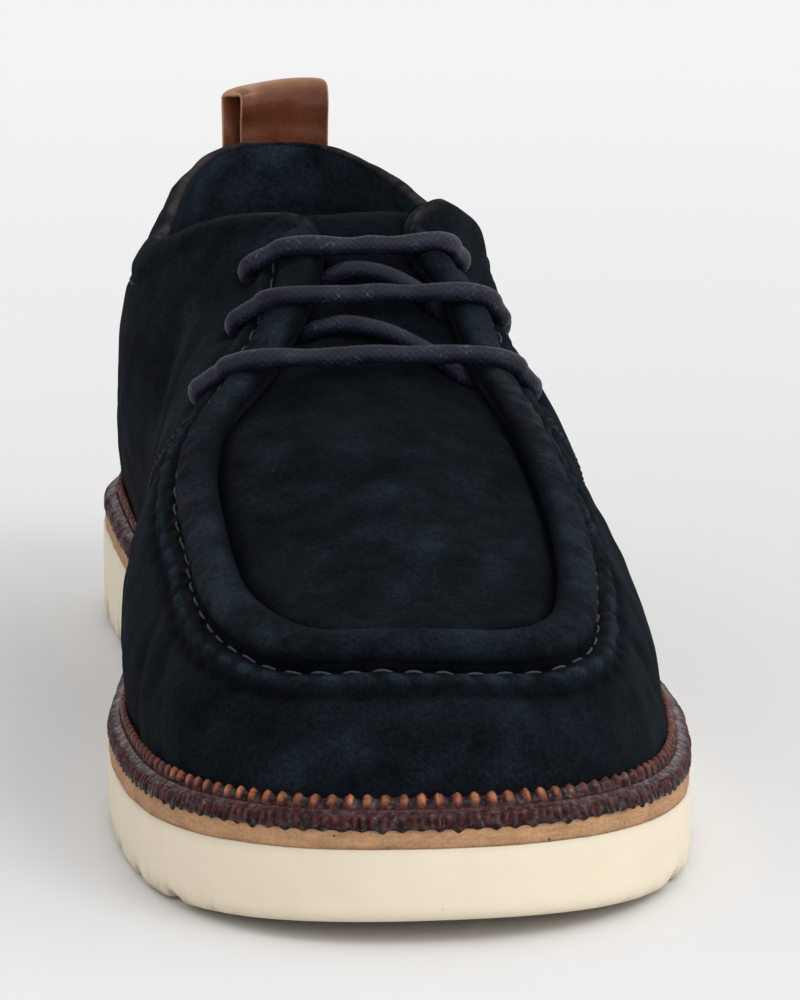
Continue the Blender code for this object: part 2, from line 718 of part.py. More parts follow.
# ---------------------------------------------------------------- pull loop
LOOP_WIDTH = 20.0
LOOP_STRAP = 1.7
LOOP_RISE = 11.5              # height of its crown above the collar, in the middle
LOOP_TILT = 1.4               # extra height at its lateral edge, less at the medial one
LOOP_TAIL = (12.0, 8.0, 4.0, 1.0)  # distances below the collar where its tail is sewn down
LOOP_NECK = 3.0               # upright height of both its feet
LOOP_SEAT = 0.5               # clearance of its front foot above the collar's edge
LOOP_SETBACK = 0.6            # its front foot stands this far before the edge's middle
LOOP_BULGE = 1.2              # how far its crown stands out beyond both feet
LOOP_CROWN_STEPS = 6
LOOP_COLUMNS = 6


def add_pull_loop():
    """Folded strap: it stands on the collar's edge and comes down behind the heel."""
    half_turn = 0.5 * LOOP_WIDTH / loop_perimeter()
    turns = np.linspace(0.5 - half_turn, 0.5 + half_turn, LOOP_COLUMNS + 1)
    sections = []
    for turn, tilt in zip(turns, np.linspace(LOOP_TILT, -LOOP_TILT, len(turns))):
        line = loop_line(turn, LOOP_RISE + tilt)
        sideways = np.gradient(line, axis=0)
        sideways = np.column_stack((sideways[:, 0] * 0, sideways[:, 2], -sideways[:, 1]))
        sideways /= np.linalg.norm(sideways, axis=1, keepdims=True)
        face = line - LOOP_STRAP / 2 * sideways
        back = line + LOOP_STRAP / 2 * sideways
        sections.append(np.concatenate((face, back[::-1])))
    return add_sweep("pull_loop", sections, BROWN_LEATHER)


def loop_perimeter():
    """Length of the top line that one whole turn would have at the back of the heel."""
    span = 0.02
    ends = top_line(np.array((0.5 - span / 2, 0.5 + span / 2)))
    return float(np.linalg.norm(ends[1] - ends[0])) / span


def loop_line(turn, rise):
    """Middle of the strap at one turn: front foot, crown and tail behind the heel."""
    tail = [on_wall(turn, down, GAP + LOOP_STRAP / 2)[0] for down in LOOP_TAIL]
    edge = on_wall(turn, 0.0, -WALL / 2)[0]
    front = edge + LOOP_SEAT * UP
    front[1] -= LOOP_SETBACK
    back = tail[-1]
    middle = (front + back) / 2
    radius = (back[1] - front[1]) / 2 + LOOP_BULGE
    crown = []
    for angle in np.linspace(math.pi, 0, LOOP_CROWN_STEPS + 1):
        y = middle[1] + radius * math.cos(angle)
        z = middle[2] + rise - LOOP_STRAP / 2 - radius + radius * math.sin(angle)
        crown.append((middle[0], y, z))
    neck = LOOP_NECK * UP
    return np.array([front, front + neck] + crown + [back + neck] + tail[::-1])


# ---------------------------------------------------------------- assembly
def clear_scene():
    for old in list(bpy.data.objects):
        bpy.data.objects.remove(old, do_unlink=True)


def main():
    clear_scene()
    add_outsole()
    add_midsole()
    add_welt()
    add_insole()
    add_upper()
    add_apron_roll()
    add_tongue()
    add_lace_bars()
    add_pull_loop()


main()
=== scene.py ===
"""Looks of a moccasin-toe suede derby for the left foot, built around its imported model.

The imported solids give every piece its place.  The wall of the upper is worked out again
here from the same few tables, finer than in the solids, so that seams, stitches, creases
and the lace can be laid on it by two coordinates: a "turn" round the shoe (0 at the toe
tip, along the lateral side to 0.5 at the heel, back along the medial side to 1) and the
distance "down" the wall from its top line.  "Around" counts one side only, 0 at the toe
tip to 1 at the heel.  "Along" runs from the toe tip to the back of the heel.

Tables and lengths are millimetres; write_mesh() turns them into metres.  +Z is up, the toe
points along -Y and the lateral side of the foot lies at +X.
"""

import json
import math
from collections import namedtuple
from functools import cache

import bmesh
import bpy
import numpy as np
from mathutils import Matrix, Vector

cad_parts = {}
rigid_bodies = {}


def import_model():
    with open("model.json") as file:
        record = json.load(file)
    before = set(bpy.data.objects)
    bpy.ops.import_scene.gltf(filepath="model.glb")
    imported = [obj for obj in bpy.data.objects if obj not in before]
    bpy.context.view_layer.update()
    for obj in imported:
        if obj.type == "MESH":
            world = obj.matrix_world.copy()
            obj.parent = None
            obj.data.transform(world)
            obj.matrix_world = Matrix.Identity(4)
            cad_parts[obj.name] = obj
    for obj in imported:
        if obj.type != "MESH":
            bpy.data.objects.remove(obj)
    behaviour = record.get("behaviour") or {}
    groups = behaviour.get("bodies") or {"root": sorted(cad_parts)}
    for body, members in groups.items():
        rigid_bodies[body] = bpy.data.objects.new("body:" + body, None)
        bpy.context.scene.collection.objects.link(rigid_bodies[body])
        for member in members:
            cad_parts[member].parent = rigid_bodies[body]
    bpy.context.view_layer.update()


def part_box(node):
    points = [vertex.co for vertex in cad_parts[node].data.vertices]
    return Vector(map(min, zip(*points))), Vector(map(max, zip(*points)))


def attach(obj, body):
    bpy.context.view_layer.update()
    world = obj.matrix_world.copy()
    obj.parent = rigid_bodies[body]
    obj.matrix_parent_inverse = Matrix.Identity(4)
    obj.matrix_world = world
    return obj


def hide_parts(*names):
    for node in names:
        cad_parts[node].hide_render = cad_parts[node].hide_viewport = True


bl_info = {
    "name": "Moccasin-toe derby shoe",
    "version": (1, 0, 0),
    "blender": (4, 5, 0),
    "location": "3D View > Sidebar > Derby Shoe",
    "description": "Builds the looks of a suede moccasin-toe derby around its packed model",
    "category": "Add Mesh",
}

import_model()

MILLIMETRE = 0.001
LATERAL = 1
MEDIAL = -1

# ---------------------------------------------------------------- sizes shared with the solids
GAP = 0.3
SOLE_LENGTH = (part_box("outsole")[1][1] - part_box("outsole")[0][1]) / MILLIMETRE
TOE_ROUND = 72.0
TOE_SQUARENESS = 2.4
HEEL_ROUND = 42.0
HEEL_SQUARENESS = 2.3
LEDGE = 5.0
MIDSOLE_THICKNESS = 3.7
WALL = 2.2
INSOLE_THICKNESS = 3.0
RISE = 0.40


def table(columns, *rows):
    """Rows of values whose columns have names."""
    row = namedtuple("Row", columns)
    return tuple(row(*values) for values in rows)


SOLE_PLAN = table(
    "along centre half_width",
    (0, -4.0, 49.4),
    (55, -1.8, 52.3),
    (95, 0.2, 54.4),
    (140, 2.6, 49.0),
    (190, 3.1, 40.6),
    (240, 1.2, 39.8),
    (300, 0.0, 38.5),
)

SOLE_PROFILE = table(
    "along tread top",
    (0, 4.6, 17.7),
    (14, 2.7, 16.4),
    (32, 1.0, 15.0),
    (56, 0.0, 13.8),
    (95, 0.0, 13.2),
    (142, 0.0, 14.0),
    (168, 1.2, 15.3),
    (200, 1.2, 17.0),
    (226, 0.0, 18.3),
    (262, 0.0, 19.6),
    (300, 0.0, 20.4),
)

TOP_LINE = table(
    "around along lateral lateral_height medial medial_height",
    (0.000, 32.4, -3.6, 48.5, -3.6, 48.5),       # apron, toe
    (0.050, 32.9, 7.4, 48.0, -14.2, 48.8),
    (0.100, 35.2, 15.8, 48.0, -22.4, 49.0),
    (0.150, 41.6, 21.4, 49.0, -27.6, 50.0),
    (0.200, 51.6, 24.4, 51.2, -31.6, 51.8),
    (0.300, 80.0, 26.8, 59.4, -33.8, 59.6),      # apron, widest
    (0.350, 96.0, 25.8, 65.4, -33.4, 65.4),
    (0.400, 112.0, 23.6, 72.0, -29.2, 72.0),
    (0.450, 128.0, 19.4, 79.5, -18.8, 79.5),     # throat edges
    (0.500, 145.0, 17.0, 88.8, -9.8, 88.8),
    (0.550, 161.3, 11.8, 97.0, -5.8, 97.2),
    (0.575, 169.0, 13.4, 100.8, -7.6, 101.0),
    (0.600, 177.0, 19.0, 102.0, -16.0, 100.9),   # rounded tops of the facings
    (0.630, 186.5, 25.0, 98.0, -25.2, 97.3),
    (0.660, 198.0, 28.8, 92.8, -31.6, 92.4),
    (0.700, 212.0, 29.8, 89.8, -32.4, 89.8),
    (0.750, 230.0, 28.2, 89.5, -29.2, 89.5),     # collar
    (0.800, 248.0, 25.0, 91.1, -25.6, 91.1),
    (0.850, 265.5, 21.0, 93.1, -21.2, 93.1),
    (0.900, 280.5, 15.3, 94.6, -15.2, 94.6),
    (0.950, 289.2, 8.3, 95.4, -8.0, 95.4),
    (1.000, 291.5, 0.3, 95.6, 0.3, 95.6),        # back of the heel
)

RIBS = table(
    "around lateral_reach medial_reach lateral_slope medial_slope lateral_swell medial_swell",
    (0.00, 12.0, 12.0, 0.42, 0.42, 1.5, 1.5),
    (0.15, 12.0, 12.0, 0.48, 0.48, 1.8, 3.5),
    (0.30, 12.5, 13.0, 0.45, 0.45, 2.6, 5.5),
    (0.40, 14.0, 19.0, 0.36, 0.26, 3.2, 6.0),
    (0.50, 16.5, 27.0, 0.22, 0.12, 3.4, 7.0),
    (0.55, 15.5, 28.0, 0.30, 0.14, 3.2, 8.0),
    (0.60, 12.0, 21.0, 0.80, 0.45, 3.2, 8.5),
    (0.65, 9.0, 15.0, 1.60, 1.00, 3.6, 9.0),
    (0.72, 7.0, 12.0, 2.10, 1.20, 4.2, 8.5),
    (0.85, 7.0, 8.0, 2.50, 2.20, 4.5, 5.5),
    (1.00, 6.0, 6.0, 3.50, 3.50, 4.0, 4.0),
)

DOME = table(
    "along crown",
    (32, 0.0),
    (45, 2.4),
    (60, 4.2),
    (85, 5.4),
    (110, 4.6),
    (130, 3.2),
    (175, 2.2),
)

ROLL_INNER = 0.8
ROLL_WIDTH_TOE = 6.8
ROLL_WIDTH_FACING = 7.4
ROLL_HEIGHT_TOE = 3.0
ROLL_HEIGHT_FACING = 2.2
ROLL_END = 0.560

TONGUE_END = 0.598
TONGUE_TUCK = 8.0
TONGUE_THICKNESS = 2.4

LACE_RADIUS = 1.8
LACE_WRAP = (42, 65, 90)      # degrees of its bend over a roll, up to the crest
LACE_REST = ((0.35, 0.15), (0.7, 0.7))   # way from eyelet to roll, extra height
LACE_LIFT = 1.5

# A bar crosses the throat at `around`; its eyelets lie further back, some way down the wall.
LACE_BARS = table(
    "around medial medial_down lateral lateral_down",
    (0.437, 0.460, 18.0, 0.460, 16.0),
    (0.489, 0.503, 16.0, 0.507, 14.5),
    (0.530, 0.549, 15.5, 0.570, 14.0),
)

LOOP_WIDTH = 20.0
LOOP_STRAP = 1.7
LOOP_RISE = 11.5
LOOP_EXTRA = 1.2              # how much higher the soft strap stands than the plain one
LOOP_SKEW = 2.6               # how far its front layer has slipped to the lateral side
LOOP_TILT = 1.4


# ---------------------------------------------------------------- curves from tables
def hermite(x, y, at):
    """Smooth curve through the points (x, y), read at `at`."""
    step = np.diff(x)
    rise = np.diff(y) / step
    inner = (rise[:-1] * step[1:] + rise[1:] * step[:-1]) / (step[1:] + step[:-1])
    slope = np.concatenate((rise[:1], inner, rise[-1:]))
    at = np.clip(at, x[0], x[-1])
    left = np.clip(np.searchsorted(x, at, side="right") - 1, 0, len(step) - 1)
    t = (at - x[left]) / step[left]
    return (
        (2 * t**3 - 3 * t**2 + 1) * y[left]
        + (t**3 - 2 * t**2 + t) * step[left] * slope[left]
        + (3 * t**2 - 2 * t**3) * y[left + 1]
        + (t**3 - t**2) * step[left] * slope[left + 1]
    )


def follow(table, column, at):
    """One column of a table, read at stations `at` of its first column."""
    x = np.array([row[0] for row in table], float)
    y = np.array([getattr(row, column) for row in table], float)
    return hermite(x, y, np.asarray(at, float))


def follow_round(table, lateral_column, medial_column, turn):
    """A pair of columns as one closed curve round the shoe, read at `turn`."""
    around = np.array([row[0] for row in table], float)
    lateral = np.array([getattr(row, lateral_column) for row in table], float)
    medial = np.array([getattr(row, medial_column) for row in table], float)
    x = np.concatenate((around / 2, 1 - around[-2::-1] / 2))
    y = np.concatenate((lateral, medial[-2::-1]))
    x = np.concatenate((x[-4:-1] - 1, x, x[1:4] + 1))
    y = np.concatenate((y[-4:-1], y, y[1:4]))
    return hermite(x, y, np.mod(turn, 1.0))


def rounded_end(distance, length, squareness):
    """Factor from 0 to 1 that rounds an outline off over `length` from its tip."""
    t = np.clip(distance / length, 0.0, 1.0)
    return (1 - (1 - t) ** squareness) ** (1 / squareness)


def smooth_step(value, low, high):
    """0 below `low`, 1 above `high`, and a smooth slope between."""
    t = np.clip((value - low) / (high - low), 0.0, 1.0)
    return t * t * (3 - 2 * t)


def stretch(value, rise, fall):
    """1 on a stretch that begins smoothly between `rise` and ends between `fall`."""
    return smooth_step(value, *rise) * (1 - smooth_step(value, *fall))


def hump(value, width):
    """1 at zero, falling smoothly to nothing past `width`."""
    return np.exp(-((value / width) ** 2))


def unit(vectors):
    """The same directions at length 1."""
    return vectors / np.linalg.norm(vectors, axis=-1, keepdims=True)


def arc_lengths(points):
    """Distance along a polyline from its first point to each of them."""
    step = np.linalg.norm(np.diff(points, axis=0), axis=1)
    return np.concatenate(([0.0], np.cumsum(step)))


def waves(points, wavelength, seed, count=14):
    """Smooth unevenness between about -1 and 1 at points in space."""
    random = np.random.default_rng(seed)
    heading = unit(random.normal(size=(count, 3)))
    length = wavelength * random.uniform(0.7, 1.5, count)
    phase = random.uniform(0, 2 * math.pi, count)
    total = np.zeros(np.shape(points)[:-1])
    for i in range(count):
        total += np.sin(2 * math.pi * (points @ heading[i]) / length[i] + phase[i])
    return total / math.sqrt(count)


# ---------------------------------------------------------------- sole outline
def outline_at(along):
    """Lateral and medial edge of the sole at stations along it, as plan points."""
    half = follow(SOLE_PLAN, "half_width", along)
    half *= rounded_end(along, TOE_ROUND, TOE_SQUARENESS)
    half *= rounded_end(SOLE_LENGTH - along, HEEL_ROUND, HEEL_SQUARENESS)
    centre = follow(SOLE_PLAN, "centre", along)
    y = along - SOLE_LENGTH / 2
    return np.stack((centre + half, y), axis=1), np.stack((centre - half, y), axis=1)


def sole_loop(inset, count):
    """Closed plan curve inside the sole's edge, `count` stations on each side."""
    along = SOLE_LENGTH * (1 - np.cos(np.linspace(0, math.pi, count))) / 2
    lateral, medial = outline_at(along)
    loop = np.concatenate((lateral, medial[-2:0:-1]))
    return loop - np.asarray(inset).reshape(-1, 1) * plan_normals(loop)


def plan_normals(loop):
    """Outward unit normals of a closed plan curve that runs anticlockwise from above."""
    tangent = np.roll(loop, -1, axis=0) - np.roll(loop, 1, axis=0)
    return unit(np.stack((tangent[:, 1], -tangent[:, 0]), axis=1))


FINE_STATIONS = 1200


def read_round(loop, values, turn):
    """Values on a closed plan curve, read at even arc lengths given by `turn`."""
    arc = arc_lengths(np.concatenate((loop, loop[:1])))
    values = np.concatenate((values, values[:1]))
    place = np.mod(turn, 1.0) * arc[-1]
    return np.stack([np.interp(place, arc, column) for column in values.T], axis=1)


def along_of(y):
    """Distance from the toe tip of a place in the shoe's own frame."""
    return y + SOLE_LENGTH / 2


def tread_height(along):
    """Height of the uncut tread above the ground."""
    return np.maximum(follow(SOLE_PROFILE, "tread", along), 0.0)


def midsole_bottom(along):
    """Level on which the tan sheet lies."""
    return follow(SOLE_PROFILE, "top", along) + GAP


def seat_height(along):
    """Level on which upper, welt and footbed stand, just above the midsole."""
    return midsole_bottom(along) + MIDSOLE_THICKNESS + GAP


# ---------------------------------------------------------------- wall of the upper
def top_line(turn):
    """Points of the edge of the apron, the throat and the collar."""
    along = follow_round(TOP_LINE, "along", "along", turn)
    height = follow_round(TOP_LINE, "lateral_height", "medial_height", turn)
    across = follow_round(TOP_LINE, "lateral", "medial", turn)
    return np.column_stack((across, along - SOLE_LENGTH / 2, height))


def rib_points(turn, share):
    """Wall at `turn` and `share` of each rib: one row for each share, 0 at its foot."""
    fine = sole_loop(LEDGE, FINE_STATIONS)
    plan = read_round(fine, fine, turn)
    outward = np.column_stack((read_round(fine, plan_normals(fine), turn), 0 * turn))
    foot = np.column_stack((plan, seat_height(along_of(plan[:, 1]))))
    top = top_line(turn)
    reach = follow_round(RIBS, "lateral_reach", "medial_reach", turn)[:, None]
    slope = follow_round(RIBS, "lateral_slope", "medial_slope", turn)[:, None]
    swell = follow_round(RIBS, "lateral_swell", "medial_swell", turn)[:, None]
    up = np.array((0.0, 0.0, 1.0))
    lift = RISE * (top[:, 2:] - foot[:, 2:])
    lower = foot + swell * outward + lift * up
    shoulder = top + reach * outward - reach * slope * up
    t = np.asarray(share, float).reshape(-1, 1, 1)
    return (
        (1 - t) ** 3 * foot
        + 3 * t * (1 - t) ** 2 * lower
        + 3 * t**2 * (1 - t) * shoulder
        + t**3 * top
    )


class Wall:
    """Outer surface of the upper, read by turn and by the distance down from its top line."""

    COLUMNS = 1440
    ROWS = 260
    RIB_STEPS = 420

    def __init__(self):
        turn = np.arange(self.COLUMNS) / self.COLUMNS
        ribs = rib_points(turn, np.linspace(1, 0, self.RIB_STEPS))
        step = np.linalg.norm(np.diff(ribs, axis=0), axis=2)
        down = np.concatenate((np.zeros((1, self.COLUMNS)), np.cumsum(step, axis=0)))
        self.length = down[-1]
        level = np.linspace(0, 1, self.ROWS)
        self.points = np.empty((self.ROWS, self.COLUMNS, 3))
        for i in range(self.COLUMNS):
            for axis in range(3):
                at = level * self.length[i]
                self.points[:, i, axis] = np.interp(at, down[:, i], ribs[:, i, axis])
        around = np.roll(self.points, -1, axis=1) - np.roll(self.points, 1, axis=1)
        self.normals = unit(np.cross(np.gradient(self.points, axis=0), around))

    def rib_length(self, turn):
        """Length of the wall from its top line down to its foot."""
        place = np.mod(turn, 1.0) * self.COLUMNS
        return np.interp(place, np.arange(self.COLUMNS + 1), np.append(self.length, self.length[0]))

    def frame_at(self, turn, down):
        """Point and outward normal at each turn and distance down.

        Above the top line, where the distance is negative, the wall runs on straight.
        """
        turn, down = np.broadcast_arrays(np.asarray(turn, float), np.asarray(down, float))
        place = np.mod(turn, 1.0) * self.COLUMNS
        left = np.floor(place).astype(int) % self.COLUMNS
        right = (left + 1) % self.COLUMNS
        side = (place - np.floor(place))[..., None]
        row = np.clip(down / self.rib_length(turn), 0, 1) * (self.ROWS - 1)
        upper = np.minimum(row.astype(int), self.ROWS - 2)
        below = (row - upper)[..., None]

        def read(table):
            near = table[upper, left] * (1 - below) + table[upper + 1, left] * below
            far = table[upper, right] * (1 - below) + table[upper + 1, right] * below
            return near * (1 - side) + far * side

        point = read(self.points)
        edge = unit(self.points[0] - self.points[2])
        beyond = np.minimum(down, 0.0)[..., None]
        point = point - beyond * (edge[left] * (1 - side) + edge[right] * side)
        return point, unit(read(self.normals))

    def at(self, turn, down, height=0.0):
        """Point at a height off the wall."""
        point, normal = self.frame_at(turn, down)
        return point + np.asarray(height, float)[..., None] * normal


WALL_SURFACE = Wall()


def around_of(turn):
    """Share of one side, 0 at the toe tip and 1 at the heel."""
    turn = np.mod(turn, 1.0)
    return 2 * np.minimum(turn, 1 - turn)


def turn_of(side, around):
    """The turn of a place counted along one side."""
    return np.mod(side * np.asarray(around, float) / 2, 1.0)


def roll_width(around):
    """Width of the roll along the apron's edge."""
    share = np.minimum(around / ROLL_END, 1.0)
    return ROLL_WIDTH_TOE + (ROLL_WIDTH_FACING - ROLL_WIDTH_TOE) * share


def roll_height(around):
    """Height of the plain roll's crest off the wall."""
    share = np.minimum(around / ROLL_END, 1.0)
    return ROLL_HEIGHT_TOE + (ROLL_HEIGHT_FACING - ROLL_HEIGHT_TOE) * share


def dome_points(around, across):
    """Apron surface at `around` and `across`, 0 at its medial and 1 at its lateral edge."""
    around, across = np.broadcast_arrays(np.asarray(around, float), np.asarray(across, float))
    shape = around.shape
    lateral = top_line(around.ravel() / 2).reshape(*shape, 3)
    medial = top_line(1 - around.ravel() / 2).reshape(*shape, 3)
    crown = follow(DOME, "crown", along_of(lateral[..., 1]))
    w = across[..., None]
    points = medial * (1 - w) + lateral * w
    points[..., 2] += crown * 4 * across * (1 - across)
    return points


# ---------------------------------------------------------------- meshes
def grid_faces(rows, columns, wrap_rows=False, wrap_columns=False, first=0):
    """Quads of a grid of points stored row by row."""
    row = np.arange(rows if wrap_rows else rows - 1)
    column = np.arange(columns if wrap_columns else columns - 1)
    i, j = np.meshgrid(row, column, indexing="ij")
    below = (i + 1) % rows
    beside = (j + 1) % columns
    quads = (i * columns + j, i * columns + beside, below * columns + beside, below * columns + j)
    return first + np.stack([corner.ravel() for corner in quads], axis=1)


def flat_end(first, columns):
    """Quads that close the end of a flat strip, whose ring of points runs out and back."""
    j = np.arange(columns // 2 - 1)
    corners = (first + j, first + j + 1, first + columns - 2 - j, first + columns - 1 - j)
    return np.stack(corners, axis=1)


def write_mesh(name, points, faces, material, weld=0.0, values=None):
    """One object from points in millimetres; `values` are attributes with a number a point."""
    mesh = bpy.data.meshes.new(name)
    mesh.from_pydata((np.asarray(points) * MILLIMETRE).tolist(), [], [tuple(f) for f in faces])
    for key, numbers in (values or {}).items():
        layer = mesh.attributes.new(key, "FLOAT", "POINT")
        layer.data.foreach_set("value", np.ascontiguousarray(numbers, np.float32).ravel())
    shape = bmesh.new()
    shape.from_mesh(mesh)
    if weld:
        bmesh.ops.remove_doubles(shape, verts=shape.verts[:], dist=weld * MILLIMETRE)
        bmesh.ops.dissolve_degenerate(shape, dist=weld * MILLIMETRE / 10, edges=shape.edges[:])
    bmesh.ops.recalc_face_normals(shape, faces=shape.faces[:])
    shape.to_mesh(mesh)
    shape.free()
    mesh.shade_smooth()
    mesh.materials.append(material)
    piece = bpy.data.objects.new(name, mesh)
    bpy.context.scene.collection.objects.link(piece)
    return piece


def stand_for(piece, slot, *nodes):
    """Fix a new piece to the shoe and let it stand for the solids it shows."""
    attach(piece, "root")
    if nodes:
        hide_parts(*nodes)


def across_strips(loop, columns):
    """Grid that fills a loop straight across, from its lateral to its medial stations."""
    half = len(loop) // 2
    lateral = loop[: half + 1]
    medial = np.concatenate((loop[:1], loop[:half - 1:-1]))
    w = np.linspace(0, 1, columns + 1)[None, :, None]
    return lateral[:, None] * (1 - w) + medial[:, None] * w


def stack_and_cap(loops, bottom, top):
    """Points and faces of a solid: side loops from bottom to top, and a grid on each end."""
    count = len(loops[0])
    points = np.concatenate(loops)
    faces = [grid_faces(len(loops), count, wrap_columns=True)]
    for cap in (bottom, top):
        faces.append(grid_faces(cap.shape[0], cap.shape[1], first=len(points)))
        points = np.concatenate((points, cap.reshape(-1, 3)))
    return points, np.concatenate(faces)


# ---------------------------------------------------------------- shading
class Wiring:
    """Adds nodes to one node tree; an input is a number, a colour or another node's output."""

    def __init__(self, tree):
        self.tree = tree

    def feed(self, socket, value):
        """Wire another node's output to an input, or give the input a value."""
        if isinstance(value, bpy.types.NodeSocket):
            self.tree.links.new(value, socket)
        elif socket.type == "RGBA":
            socket.default_value = (*value[:3], 1.0)
        else:
            socket.default_value = value

    def node(self, kind, inputs=None, **settings):
        """New node with its settings and inputs."""
        made = self.tree.nodes.new(kind)
        for key, value in settings.items():
            setattr(made, key, value)
        for key, value in (inputs or {}).items():
            self.feed(made.inputs[key], value)
        return made

    def math(self, operation, first, second=0.0, clamp=False):
        """Sum, product or the like of two values."""
        made = self.node("ShaderNodeMath", {0: first, 1: second}, operation=operation)
        made.use_clamp = clamp
        return made.outputs[0]

    def mix(self, factor, first, second):
        """Colour between two others."""
        inputs = {0: factor, 6: first, 7: second}
        return self.node("ShaderNodeMix", inputs, data_type="RGBA").outputs[2]

    def remap(self, value, low, high, to_low=0.0, to_high=1.0):
        """Value carried from one range to another."""
        ends = {"From Min": low, "From Max": high, "To Min": to_low, "To Max": to_high}
        return self.node("ShaderNodeMapRange", {"Value": value, **ends}).outputs[0]

    def place(self):
        """Place on the object, in metres."""
        return self.node("ShaderNodeTexCoord").outputs["Object"]

    def vector_math(self, operation, inputs):
        """Node that works on vectors."""
        return self.node("ShaderNodeVectorMath", inputs, operation=operation).outputs

    def scale(self, colour, factor):
        """A colour made lighter or darker."""
        return self.vector_math("SCALE", {0: colour, "Scale": factor})[0]

    def noise(self, scale, detail=3.0, roughness=0.55, stretch=None):
        """Cloudy noise between 0 and 1."""
        vector = self.place()
        if stretch is not None:
            vector = self.vector_math("MULTIPLY", {0: vector, 1: stretch})[0]
        inputs = {"Vector": vector, "Scale": scale, "Detail": detail, "Roughness": roughness}
        return self.node("ShaderNodeTexNoise", inputs).outputs["Fac"]

    def attribute(self, name):
        """A value that the mesh carries."""
        return self.node("ShaderNodeAttribute", attribute_name=name).outputs["Fac"]

    def group(self, group, **inputs):
        """Outputs of a shader group placed with its own values."""
        inputs = {key.replace("_", " "): value for key, value in inputs.items()}
        return self.node("ShaderNodeGroup", inputs, node_tree=group).outputs

    def bump(self, height, strength, distance):
        """Normal of a surface that rises by up to `distance` millimetres."""
        inputs = {"Height": height, "Strength": strength, "Distance": distance * MILLIMETRE}
        return self.node("ShaderNodeBump", inputs).outputs[0]


def new_group(name, inputs, outputs):
    """Empty shader group; inputs are (name, kind, default), outputs (name, kind)."""
    group = bpy.data.node_groups.new(name, "ShaderNodeTree")
    for label, kind, default in inputs:
        socket = group.interface.new_socket(label, in_out="INPUT", socket_type=kind)
        socket.default_value = default
    for label, kind in outputs:
        group.interface.new_socket(label, in_out="OUTPUT", socket_type=kind)
    wiring = Wiring(group)
    given = wiring.node("NodeGroupInput").outputs
    result = wiring.node("NodeGroupOutput").inputs
    return group, wiring, given, result


COLOUR = "NodeSocketColor"
VALUE = "NodeSocketFloat"
GREY = (0.5, 0.5, 0.5, 1.0)


@cache
def patchy_group():
    """Colour that drifts in soft patches and is broken up by a fine grain."""
    group, wiring, given, result = new_group(
        "Patches and grain",
        (
            ("Colour", COLOUR, GREY),
            ("Patch Scale", VALUE, 40.0),
            ("Patch Contrast", VALUE, 0.3),
            ("Grain Scale", VALUE, 1500.0),
            ("Grain Contrast", VALUE, 0.3),
        ),
        (("Colour", COLOUR), ("Grain", VALUE)),
    )
    patches = wiring.noise(given["Patch Scale"], 4.0, 0.6)
    grain = wiring.noise(given["Grain Scale"], 3.0, 0.65)
    drift = wiring.math("MULTIPLY", wiring.math("SUBTRACT", patches, 0.5), given["Patch Contrast"])
    speckle = wiring.math("MULTIPLY", wiring.math("SUBTRACT", grain, 0.5), given["Grain Contrast"])
    bright = wiring.math("ADD", wiring.math("ADD", drift, speckle), 1.0)
    bright = wiring.math("MAXIMUM", bright, 0.05)
    wiring.feed(result["Colour"], wiring.scale(given["Colour"], bright))
    wiring.feed(result["Grain"], grain)
    return group


@cache
def tone_group():
    """Shade laid in: dark where the tone is 0, light where it is 1, as it is at 0.5."""
    # The tone that the meshes carry is mostly painted shade in hollows, grooves and creases and
    # painted light on ridges and inside the shoe, with some random variation.
    group, wiring, given, result = new_group(
        "Painted shade and light",
        (
            ("Colour", COLOUR, GREY),
            ("Tone", VALUE, 0.5),
            ("Dark", VALUE, 0.3),
            ("Light", VALUE, 1.8),
        ),
        (("Colour", COLOUR),),
    )
    low = wiring.remap(given["Tone"], 0.0, 0.5, given["Dark"], 1.0)
    high = wiring.remap(given["Tone"], 0.5, 1.0, 1.0, given["Light"])
    bright = wiring.math("MULTIPLY", low, high)
    wiring.feed(result["Colour"], wiring.scale(given["Colour"], bright))
    return group


@cache
def speck_group():
    """Sparse small specks of lint or grit over a colour."""
    group, wiring, given, result = new_group(
        "Specks",
        (
            ("Colour", COLOUR, GREY),
            ("Speck Colour", COLOUR, GREY),
            ("Speck Scale", VALUE, 150.0),
            ("Speck Size", VALUE, 0.05),
            ("Share", VALUE, 0.2),
        ),
        (("Colour", COLOUR),),
    )
    inputs = {"Vector": wiring.place(), "Scale": given["Speck Scale"]}
    cells = wiring.node("ShaderNodeTexVoronoi", inputs).outputs
    near = wiring.math("LESS_THAN", cells["Distance"], given["Speck Size"])
    lot = wiring.node("ShaderNodeSeparateColor", {"Color": cells["Color"]}).outputs[0]
    kept = wiring.math("LESS_THAN", lot, given["Share"])
    mask = wiring.math("MULTIPLY", near, kept)
    specked_colour = wiring.mix(mask, given["Colour"], given["Speck Colour"])
    wiring.feed(result["Colour"], specked_colour)
    return group


@cache
def ground_dirt_group():
    """Scuffed dirt that gathers towards the ground."""
    group, wiring, given, result = new_group(
        "Ground dirt",
        (
            ("Colour", COLOUR, GREY),
            ("Dirt Colour", COLOUR, GREY),
            ("Reach", VALUE, 0.006),
            ("Amount", VALUE, 0.5),
        ),
        (("Colour", COLOUR),),
    )
    height = wiring.node("ShaderNodeSeparateXYZ", {"Vector": wiring.place()}).outputs["Z"]
    fade = wiring.math("DIVIDE", height, given["Reach"])
    fade = wiring.math("SUBTRACT", 1.0, fade, clamp=True)
    patches = wiring.remap(wiring.noise(220.0, 5.0, 0.65), 0.38, 0.72)
    mask = wiring.math("MULTIPLY", fade, patches)
    mask = wiring.math("MULTIPLY", mask, given["Amount"], clamp=True)
    wiring.feed(result["Colour"], wiring.mix(mask, given["Colour"], given["Dirt Colour"]))
    return group



